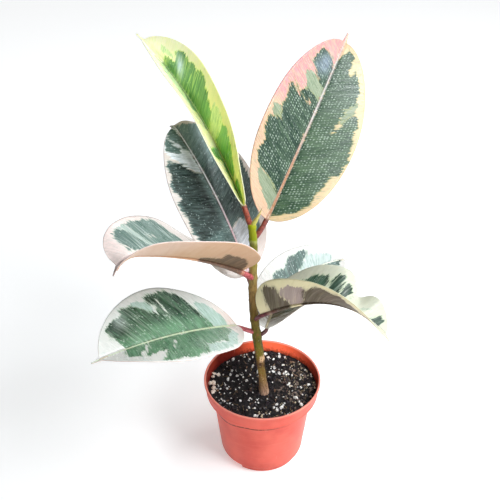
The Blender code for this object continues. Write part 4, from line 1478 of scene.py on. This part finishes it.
# %% Palettes
FINISH_DEFAULTS = {"mottle": 0.3, "channel": 0.3, "glow": 0.0, "scatter": 0.9, "red_rib": 0.08}
PALETTES = {
    "leaf_1": {
        "deep": (32, 58, 50), "light": (92, 128, 118), "shade": (40, 66, 56),
        "pale": (196, 208, 204), "fringe": (170, 190, 172), "margin": (212, 210, 206),
        "blush": (226, 216, 210), "vein": (206, 222, 216), "rib": (150, 140, 112),
        "rib_tip": (232, 232, 214), "back_deep": (96, 84, 66), "back_pale": (170, 154, 148),
        "back_margin": (214, 202, 160), "stalk": (84, 38, 38), "stalk_dark": (44, 22, 22),
        "drop": (226, 238, 238), "edge": (200, 192, 184), "streaks": 0.3, "wet": 0.85,
        "mottle": 0.6, "bloom": (100, 88, 68), "channel": 0.2,
    },
    "leaf_2": {
        "deep": (31, 58, 44), "light": (108, 158, 120), "shade": (32, 58, 40),
        "pale": (188, 210, 204), "fringe": (160, 186, 160), "margin": (230, 232, 228),
        "blush": (236, 216, 208), "vein": (186, 208, 190), "rib": (204, 224, 184),
        "rib_tip": (212, 230, 196), "back_deep": (104, 94, 74), "back_pale": (168, 158, 146),
        "back_margin": (224, 204, 174), "stalk": (176, 84, 88), "stalk_dark": (90, 30, 38),
        "drop": (206, 226, 210), "edge": (206, 190, 186), "streaks": 0.4, "wet": 0.75,
        "mottle": 0.45, "bloom": (226, 240, 236), "channel": 0.25,
    },
    "leaf_3": {
        "deep": (42, 60, 48), "light": (72, 108, 88), "shade": (38, 56, 48),
        "pale": (186, 196, 176), "fringe": (166, 184, 150), "margin": (194, 196, 184),
        "blush": (222, 218, 180), "vein": (206, 216, 196), "rib": (222, 218, 196),
        "rib_tip": (226, 222, 206), "back_deep": (76, 64, 44), "back_pale": (172, 152, 146),
        "back_margin": (240, 228, 184), "stalk": (112, 50, 58), "stalk_dark": (54, 22, 30),
        "drop": (190, 210, 204), "edge": (200, 194, 156), "streaks": 0.3, "wet": 0.35,
        "bloom": (214, 226, 222), "red_rib": 0.18,
    },
    "leaf_4": {
        "deep": (68, 92, 86), "light": (136, 160, 158), "shade": (24, 34, 32),
        "pale": (244, 248, 254), "fringe": (150, 162, 150), "margin": (222, 216, 208),
        "blush": (232, 212, 206), "vein": (140, 160, 156), "rib": (232, 200, 208),
        "rib_tip": (240, 240, 244), "back_deep": (90, 88, 74), "back_pale": (156, 156, 150),
        "back_margin": (220, 198, 176), "stalk": (150, 70, 66), "stalk_dark": (84, 40, 38),
        "drop": (176, 196, 192), "edge": (206, 186, 180), "streaks": 0.2, "wet": 0.7,
        "bloom": (180, 172, 180), "channel": 0.4, "scatter": 0.95,
    },
    "leaf_5": {
        "deep": (72, 98, 90), "light": (122, 144, 136), "shade": (52, 80, 70),
        "pale": (170, 184, 176), "fringe": (176, 190, 176), "margin": (206, 196, 190),
        "blush": (238, 218, 212), "vein": (214, 224, 218), "rib": (226, 206, 190),
        "rib_tip": (230, 216, 208), "back_deep": (98, 76, 54), "back_pale": (206, 158, 124),
        "back_margin": (214, 168, 128), "stalk": (200, 98, 102), "stalk_dark": (138, 40, 50),
        "drop": (214, 226, 220), "edge": (220, 190, 180), "streaks": 0.45, "wet": 0.65,
        "bloom": (222, 232, 230),
    },
    "leaf_6": {
        "deep": (38, 62, 50), "light": (94, 122, 88), "shade": (46, 66, 54),
        "pale": (150, 160, 134), "fringe": (156, 160, 104), "margin": (228, 199, 156),
        "blush": (226, 144, 148), "vein": (126, 150, 124), "rib": (178, 126, 88),
        "rib_tip": (190, 182, 176), "back_deep": (100, 98, 80), "back_pale": (160, 158, 142),
        "back_margin": (224, 202, 176), "stalk": (150, 74, 64), "stalk_dark": (84, 34, 34),
        "drop": (182, 200, 182), "edge": (226, 170, 156), "streaks": 0.2, "wet": 0.88,
        "mottle": 0.65, "bloom": (176, 190, 212), "channel": 0.35, "scatter": 0.32,
    },
    "leaf_7": {
        "deep": (86, 130, 96), "light": (128, 184, 124), "shade": (70, 118, 56),
        "pale": (220, 242, 186), "fringe": (216, 238, 130), "margin": (250, 248, 186),
        "blush": (252, 250, 222), "vein": (206, 232, 150), "rib": (226, 238, 160),
        "rib_tip": (232, 242, 170), "back_deep": (120, 150, 84), "back_pale": (170, 190, 120),
        "back_margin": (236, 240, 176), "stalk": (172, 80, 56), "stalk_dark": (88, 38, 30),
        "drop": (226, 246, 186), "edge": (246, 246, 196), "streaks": 0.7, "wet": 0.3,
        "mottle": 0.45, "bloom": (214, 232, 254), "channel": 0.0, "glow": 0.4,
    },
}
for name, palette in PALETTES.items():
    PALETTES[name] = {key: srgb(*value) if isinstance(value, tuple) else value
                      for key, value in {**FINISH_DEFAULTS, **palette}.items()}
print("a palette holds:", ", ".join(PALETTES["leaf_1"]))

# %% [markdown]
# ## The upper face
# The recipe lays cream first, tints it with blush, lays the grey-green and then the deep green
# over it, each with an edge torn along the veins, and draws the fine side veins and the midrib
# last. Water dries into small specks in rows between the veins. A thin wax makes it all glossy.

# %% Torn edges, fine veins and dried drops
SPECKS_PER_METRE = (470.0, 400.0, 1.0)


def torn_edge(material, depth, plan, shift, teeth=12.0, soft=0.3):
    """(a share from 0 outside to 1 inside a patch, the torn depth): its edge follows the veins."""
    fine = grain(material, plan, 520.0, stretch=(1.0, 0.12, 1.0), detail=4.0, rough=0.7, shift=shift)
    broad = grain(material, plan, 130.0, stretch=(1.0, 0.4, 1.0), detail=3.0, shift=shift + 3)
    tear = maths(material, "MULTIPLY_ADD", fine, teeth, -teeth / 2)
    tear = maths(material, "ADD", tear, maths(material, "MULTIPLY_ADD", broad, 8.0, -4.0))
    torn = maths(material, "ADD", depth, tear)
    return ramp(material, torn, -soft, soft), torn


def fine_lines(material, plan, per_metre, shift, thin=0.08):
    """Thin wandering lines along the side veins: 1 on a line and 0 between lines."""
    wander = grain(material, plan, per_metre, stretch=(1.0, 0.05, 1.0), detail=1.0, rough=0.4,
                   shift=shift)
    off = maths(material, "ABSOLUTE", maths(material, "SUBTRACT", wander, 0.5))
    return ramp(material, off, thin, thin * 0.1)


def dried_drops(material, plan, wet, scatter):
    """Small round specks in rows that run with the side veins, denser in some places."""
    specks = add(material, "ShaderNodeMapping", Vector=plan)
    specks.inputs["Scale"].default_value = SPECKS_PER_METRE
    cells = add(material, "ShaderNodeTexVoronoi", Vector=specks.outputs[0], Scale=1.0,
                Randomness=scatter)
    patch = grain(material, plan, 110.0, detail=4.0, rough=0.6, shift=7.0)
    size = ramp(material, patch, 0.38, 0.6, 0.42 * wet - 0.22, 0.08 + 0.24 * wet)
    return ramp(material, maths(material, "SUBTRACT", size, cells.outputs["Distance"]), -0.12, 0.1)


def read_value(material, name):
    return add(material, "ShaderNodeAttribute", {"attribute_name": name}).outputs["Fac"]


# %% [markdown]
# ## Layers of the upper face
# Each layer is a small function that takes the colour so far and gives it back with one thing more
# on it, so that a leaf's finish can be read, or left out, layer by layer.

# %% Cream, grey-green, deep green and midrib
def lay_cream(material, streak, freckle, palette):
    """Cream with a mottled blush, and grey-green breathed in along the veins."""
    blush = maths(material, "MULTIPLY", read_value(material, "blush"),
                  ramp(material, freckle, 0.36, 0.6, 0.6, 1.0))
    colour = mix(material, blush, palette["margin"], palette["blush"])
    return mix(material, ramp(material, streak, 0.5, 0.68, 0.0, palette["mottle"]), colour,
               palette["pale"])


def lay_grey_green(material, colour, plan, streak, palette):
    pale, _ = torn_edge(material, read_value(material, "pale"), plan, 5.0)
    streaky = mix(material, ramp(material, streak, 0.4, 0.68, 0.0, 0.6), palette["pale"],
                  palette["light"])
    return mix(material, pale, colour, streaky)


def lay_deep_green(material, colour, plan, streak, tone, palette):
    """(the colour with deep green and its olive fringe laid on, the share that is deep green)"""
    deep, torn = torn_edge(material, read_value(material, "deep"), plan, 0.0)
    fringe = ramp(material, torn, -1.5, -0.2, 0.0, 0.75)
    colour = mix(material, fringe, colour, palette["fringe"])
    light = maths(material, "ADD", maths(material, "MULTIPLY", read_value(material, "light"), 0.8),
                  ramp(material, tone, 0.42, 0.7, 0.0, 0.3))
    light = maths(material, "ADD", light, ramp(material, streak, 0.38, 0.7, -0.12, 0.4))
    green = mix(material, light, palette["deep"], palette["light"])
    shade = maths(material, "MULTIPLY", read_value(material, "shade"),
                  ramp(material, streak, 0.3, 0.7, 1.0, 0.6))
    green = mix(material, shade, green, palette["shade"])
    return mix(material, deep, colour, green), deep


def draw_midrib(material, colour, axes, freckle, length, palette):
    """A midrib whose colour changes on the way to the tip, in a channel with darker edges: partly the
    rib's own dark colour and partly painted shade in the groove.
    """
    away = maths(material, "ABSOLUTE", axes.outputs["Y"])
    channel = maths(material, "MULTIPLY", ramp(material, away, 0.0022, 0.0014), palette["channel"])
    channel = maths(material, "MULTIPLY", channel, ramp(material, freckle, 0.35, 0.6))
    colour = mix(material, channel, colour, palette["stalk_dark"])
    rib_colour = mix(material, ramp(material, axes.outputs["X"], 0.25 * length, 0.6 * length),
                     palette["rib"], palette["rib_tip"])
    rib_colour = mix(material, ramp(material, freckle, 0.5, 0.7, 0.0, 0.35), rib_colour,
                     palette["stalk"])
    away = maths(material, "DIVIDE", away, read_value(material, "rib_width"))
    return mix(material, ramp(material, away, 1.05, 0.7), colour, rib_colour)


# %% Leaf top material
def make_leaf_top(name, palette):
    material, shader = new_material(name + "_upper")
    plan = add(material, "ShaderNodeUVMap", {"uv_map": "vein_plan"}).outputs[0]
    axes = add(material, "ShaderNodeSeparateXYZ", Vector=plan)
    streak = grain(material, plan, 800.0, stretch=(1.0, 0.16, 1.0), detail=4.0, rough=0.7, shift=1.0)
    tone = grain(material, plan, 90.0, stretch=(1.0, 0.4, 1.0), detail=4.0, shift=2.0)
    splash = grain(material, plan, 70.0, stretch=(1.0, 0.5, 1.0), detail=3.0, shift=8.0)
    freckle = grain(material, plan, 800.0, stretch=(1.0, 0.4, 1.0), detail=3.0, shift=9.0)
    lines = fine_lines(material, plan, 520.0, 4.0)
    colour = lay_cream(material, streak, freckle, palette)
    colour = lay_grey_green(material, colour, plan, streak, palette)
    colour, deep = lay_deep_green(material, colour, plan, streak, tone, palette)
    # fine side veins, stronger here and there
    drawn = maths(material, "MULTIPLY", lines, ramp(material, splash, 0.4, 0.62, 0.25, 1.0))
    drawn = maths(material, "MULTIPLY", drawn, maths(material, "MULTIPLY_ADD", deep, 0.75, 0.25))
    colour = mix(material, maths(material, "MULTIPLY", drawn, palette["streaks"]), colour,
                 palette["vein"])
    # dried specks, which show best on the green
    drop = dried_drops(material, plan, palette["wet"], palette["scatter"])
    seen = maths(material, "MULTIPLY_ADD", deep, 0.5, 0.12)
    colour = mix(material, maths(material, "MULTIPLY", drop, seen), colour, palette["drop"])
    # painted light in streaks: painted reflections of the sky, and painted shade at the base of leaf_1
    bloom = maths(material, "MULTIPLY", read_value(material, "bloom"),
                  ramp(material, streak, 0.36, 0.6, 0.45, 1.0))
    colour = mix(material, bloom, colour, palette["bloom"])
    length = LEAVES[name]["length"] * MM
    wire(material, shader, "Base Color",
         draw_midrib(material, colour, axes, freckle, length, palette))
    wire(material, shader, "Roughness", ramp(material, tone, 0.3, 0.7, 0.24, 0.36))
    shader.inputs["Specular IOR Level"].default_value = 0.5
    shader.inputs["Subsurface Weight"].default_value = palette["glow"]
    shader.inputs["Subsurface Radius"].default_value = (0.003, 0.004, 0.001)
    shader.inputs["Subsurface Scale"].default_value = 1.0
    height = maths(material, "ADD", maths(material, "MULTIPLY", lines, -0.35),
                   maths(material, "MULTIPLY", streak, 0.9))
    height = maths(material, "ADD", height, maths(material, "MULTIPLY", drop, 0.5 * palette["wet"]))
    bump(material, shader, height, 0.6, 0.0004)
    return material


# %% [markdown]
# ## The lower face, the margin and the stalk
# Seen from below the same patches show duller: the green turns brown and olive, the grey-green
# lavender, the cream beige. It is matt, with side veins a little raised. The stalk runs from pink
# to dark red, and goes on under the blade as the back of the midrib, which takes the blade's colour.

# %% Leaf underside material
def make_leaf_back(name, palette):
    material, shader = new_material(name + "_lower")
    plan = add(material, "ShaderNodeUVMap", {"uv_map": "vein_plan"}).outputs[0]
    streak = grain(material, plan, 480.0, stretch=(1.0, 0.1, 1.0), detail=4.0, rough=0.65, shift=1.0)
    blotch = grain(material, plan, 60.0, stretch=(1.0, 0.6, 1.0), detail=4.0, shift=6.0)
    lines = fine_lines(material, plan, 300.0, 4.0, thin=0.06)
    colour = mix(material, maths(material, "MULTIPLY", read_value(material, "blush"), 0.5),
                 palette["back_margin"], palette["blush"])
    colour = mix(material, ramp(material, blotch, 0.4, 0.7, 0.0, 0.22), colour, palette["back_pale"])
    pale, _ = torn_edge(material, read_value(material, "pale"), plan, 5.0, soft=0.7)
    lilac = mix(material, ramp(material, streak, 0.5, 0.75, 0.0, 0.3), palette["back_pale"],
                palette["back_margin"])
    colour = mix(material, pale, colour, lilac)
    deep, torn = torn_edge(material, read_value(material, "deep"), plan, 0.0, soft=0.6)
    colour = mix(material, ramp(material, torn, -3.0, -0.3, 0.0, 0.3), colour, palette["back_deep"])
    brown = mix(material, ramp(material, streak, 0.42, 0.72, 0.0, 0.22), palette["back_deep"],
                palette["back_pale"])
    colour = mix(material, maths(material, "MULTIPLY", deep, 0.95), colour, brown)
    colour = mix(material, maths(material, "MULTIPLY", lines, 0.07), colour, palette["back_margin"])
    wire(material, shader, "Base Color", colour)
    wire(material, shader, "Roughness", ramp(material, blotch, 0.3, 0.7, 0.5, 0.62))
    height = maths(material, "ADD", maths(material, "MULTIPLY", lines, 0.6),
                   maths(material, "MULTIPLY", streak, 0.7))
    bump(material, shader, height, 0.4, 0.0004)
    return material


# %% Leaf margin and stalk materials
def make_leaf_edge(name, palette):
    material, shader = new_material(name + "_margin")
    tone = grain(material, own_place(material), 300.0, detail=2.0)
    wire(material, shader, "Base Color", mix(material, tone, palette["edge"], palette["blush"]))
    shader.inputs["Roughness"].default_value = 0.4
    return material


def make_stalk_skin(name, palette):
    """The stalk's own colour, which gives way to the blade's back where it goes on as its keel."""
    material, shader = new_material(name + "_stalk")
    place = own_place(material)
    along = read_value(material, "along")
    streak = grain(material, place, 600.0, detail=4.0, rough=0.65)
    colour = mix(material, ramp(material, streak, 0.4, 0.66, 0.0, 0.85), palette["stalk"],
                 palette["stalk_dark"])
    colour = mix(material, ramp(material, along, 0.0, 0.14, 0.4, 0.0), colour, srgb(120, 110, 40))
    patch = ramp(material, read_value(material, "deep"), -1.5, 1.5)
    keel = mix(material, patch, palette["back_margin"], palette["back_deep"])
    keel = mix(material, ramp(material, streak, 0.45, 0.7, 0.0, 0.4), keel, palette["back_pale"])
    fades = 1.0 + palette["red_rib"]
    colour = mix(material, ramp(material, along, fades - 0.14, fades, 0.0, 0.92), colour, keel)
    wire(material, shader, "Base Color", colour)
    wire(material, shader, "Roughness", ramp(material, streak, 0.3, 0.7, 0.34, 0.5))
    bump(material, shader, streak, 0.3, 0.0004)
    return material


# %% [markdown]
# ## Growing the leaves
# A stalk doesn't stop at its blade: it goes on under it as the back of the midrib, thinning to the
# tip. So a rod is drawn from the stem's middle to the blade and on under the midrib. Stalk, midrib
# and blade are joined in the end, so that they are one grown thing, as on the plant.

# %% Stalk and midrib
STALK_POINTS = 26
KEEL_POINTS = 70
KEEL_END = 0.97
KEEL_TIP_RADIUS = 0.5
KEEL_COVER = 0.15
KEEL_SIDE = -0.03
STALK_FLARE = 0.5
STALK_SAG = 15.0


def hermite(start, start_way, end, end_way, u):
    """A point at share u of a smooth path that leaves along one way and arrives along the other."""
    return ((2 * u ** 3 - 3 * u ** 2 + 1) * start + (u ** 3 - 2 * u ** 2 + u) * start_way
            + (3 * u ** 2 - 2 * u ** 3) * end + (u ** 3 - u ** 2) * end_way)


def grow_stalk(name, leaf):
    v = np.linspace(0.0, KEEL_END, KEEL_POINTS)
    point, along, _, up = blade_frames(leaf, v)
    radius = leaf["stalk_radius"]
    keel = KEEL_TIP_RADIUS + (radius - KEEL_TIP_RADIUS) * (1 - v) ** 2
    start = stem_at(leaf["node"])
    end = Vector(point[0] - up[0] * (radius + KEEL_COVER))
    reach = (end - start).length
    _, heading, climb = leaf["stalk"]
    start_way = direction(heading, climb - STALK_SAG) * reach
    end_way = Vector(along[0]) * reach
    points, radii, shares = [], [], []
    for i in range(STALK_POINTS):
        u = i / STALK_POINTS
        points.append(hermite(start, start_way, end, end_way, u))
        radii.append(radius + STALK_FLARE * (1 - u) ** 2)
        shares.append(u)
    for i in range(KEEL_POINTS):
        points.append(Vector(point[i] - up[i] * (keel[i] + KEEL_COVER)))
        radii.append(keel[i])
        shares.append(1 + v[i])
    stalk = grow_rod(name + "_stalk", points, radii, 4)
    line = np.array(points) * MM
    where = np.array([vertex.co for vertex in stalk.data.vertices])
    nearest = np.argmin(((where[:, None] - line[None]) ** 2).sum(axis=2), axis=1)
    along = np.array(shares)[nearest]
    give_values(stalk, "along", along)
    beside_rib = np.full(len(along), KEEL_SIDE)
    give_values(stalk, "deep", patch_depth("deep", name, np.clip(along - 1.0, 0.0, 1.0), beside_rib))
    roughen(stalk, 0.12, 2.0)
    return stalk


# %% [markdown]
# ## Where a blade changes tone
# Inside a patch the tone still drifts: a blush gathers at the margin or the tip, one end of the green
# is lighter, another lies in deeper green. Some of these shares are painted light: on leaf_4 the
# lighter upper right is a painted sheen and its darkest green is painted shade, and a last share lays
# painted reflections of the sky on four leaves and painted shade at the base of the oldest. These are
# soft shares of the two blade coordinates, stored at the vertices for the material to read.

# %% Blush, light, shade and painted light
def after(place, start, soft):
    """Rises from 0 to 1 over a soft stretch that begins at start."""
    return smooth_step((place - start) / soft)


def before(place, end, soft):
    """Falls from 1 to 0 over a soft stretch that finishes at end."""
    return smooth_step((end - place) / soft)


def spot(v, t, wide_v, wide_t):
    """A soft round spot where v and t, measured from its middle, are both near 0."""
    return np.exp(-(v / wide_v) ** 2 - (t / wide_t) ** 2)


TONES = {
    "blush": {
        "leaf_1": lambda v, t: 0.3,
        "leaf_2": lambda v, t: before(v, 0.25, 0.2),
        "leaf_3": lambda v, t: 0.3,
        "leaf_4": lambda v, t: 0.4 + 0.6 * after(t, 0.2, 0.5),
        "leaf_5": lambda v, t: 0.2 + 0.8 * after(v, 0.55, 0.3),
        "leaf_6": lambda v, t: np.maximum(after(v, 0.45, 0.12), 0.4) * before(t, 0.2, 0.3),
        "leaf_7": lambda v, t: after(v, 0.4, 0.6),
    },
    "light": {
        "leaf_1": lambda v, t: 0.2,
        "leaf_2": lambda v, t: np.where(t < 0, 0.75, 0.65 * before(t, 0.45, 0.3)),
        "leaf_3": lambda v, t: 0.5 * before(v, 0.47, 0.02),
        # on leaf_4 the lighter upper right is a painted sheen
        "leaf_4": lambda v, t: 0.15 + 0.6 * after(v, 0.76, 0.12) * after(t, 0.0, 0.1),
        "leaf_5": lambda v, t: 0.3,
        "leaf_6": lambda v, t: 0.35 * after(t, -0.1, 0.3),
        "leaf_7": lambda v, t: 0.85 * before(v, 0.56, 0.2) + 0.15 * before(t, 0.0, 0.2),
    },
    "shade": {
        # on leaf_4 this is painted shade over the middle of the blade
        "leaf_4": lambda v, t: after(v, 0.30, 0.06) * before(v, 0.84, 0.06)
        * np.where(t < 0, before(t, -0.1, 0.15) * after(t, -0.93, 0.1), 0.8 * before(v, 0.74, 0.1)),
        "leaf_6": lambda v, t: 0.4 * after(v, 0.55, 0.1) * after(t, -0.1, 0.2),
        "leaf_7": lambda v, t: before(t, -0.25, 0.1) * after(v, 0.2, 0.04) * before(v, 0.3, 0.03),
    },
    # painted light: painted reflections of the sky on leaf_2, leaf_4, leaf_6 and leaf_7, painted shade
    # at the base of leaf_1
    "bloom": {
        "leaf_1": lambda v, t: 0.9 * after(v, 0.01, 0.05) * before(v, 0.26, 0.04),
        "leaf_2": lambda v, t: 0.4 * spot(v - 0.76, t - 0.7, 0.04, 0.2),
        "leaf_4": lambda v, t: 0.6 * before(v, 0.31, 0.03) * after(t, 0.02, 0.04)
        * before(t, 0.6, 0.08),
        "leaf_6": lambda v, t: 0.6 * spot(v - 0.80, t + 0.34, 0.05, 0.25),
        "leaf_7": lambda v, t: spot(v - 0.665 - 0.14 * t, t - 0.4, 0.024, 0.24),
    },
}
for kind, rules in TONES.items():
    print(kind, "is placed on", ", ".join(rules))


# %% [markdown]
# ## The blade
# The flat grid is bent by the rule above and given its coordinates, patch depths and tones. Solidify
# then thickens it downwards and gives the lower face and the margin their own materials.

# %% Blade
RIB_TIP_WIDTH = 0.5
RIB_FOOT_WIDTH = 1.3
RIB_WIDEST_SHARE = 0.35


def grow_blade(name, leaf):
    blade, v, t = flat_grid(name + "_grown")
    places = blade_points(leaf, v, t, relief(leaf, v, t)) * MM
    blade.data.vertices.foreach_set("co", places.astype(np.float32).ravel())
    vein, out = vein_place(leaf, v, t)
    give_plan(blade, vein, out)
    give_values(blade, "deep", patch_depth("deep", name, v, t))
    give_values(blade, "pale", patch_depth("pale", name, v, t))
    for kind, rules in TONES.items():
        tone = rules[name](v, t) if name in rules else 0.0
        give_values(blade, kind, np.broadcast_to(tone, v.shape))
    rib_width = RIB_TIP_WIDTH + (RIB_FOOT_WIDTH - RIB_TIP_WIDTH) * (1 - v) ** 1.2
    rib_width = np.minimum(rib_width, half_width(leaf, v) * RIB_WIDEST_SHARE)
    give_values(blade, "rib_width", rib_width * MM)
    blade.data.shade_smooth()
    return blade


# %% The whole leaf, seven times
def grow_leaf(name):
    leaf = LEAVES[name]
    palette = PALETTES[name]
    blade = grow_blade(name, leaf)
    blade.data.materials.append(make_leaf_top(name, palette))
    blade.data.materials.append(make_leaf_back(name, palette))
    blade.data.materials.append(make_leaf_edge(name, palette))
    thick = blade.modifiers.new("Thickness", "SOLIDIFY")
    thick.thickness = BLADE_THICKNESS * MM
    thick.offset = -1.0
    thick.material_offset = 1
    thick.material_offset_rim = 2
    apply_modifiers(blade)
    stalk = grow_stalk(name, leaf)
    stalk.data.materials.append(make_stalk_skin(name, palette))
    return join([blade, stalk], name + "_grown")


for name in LEAVES:
    hand_over(grow_leaf(name), "leaf_skin", name)
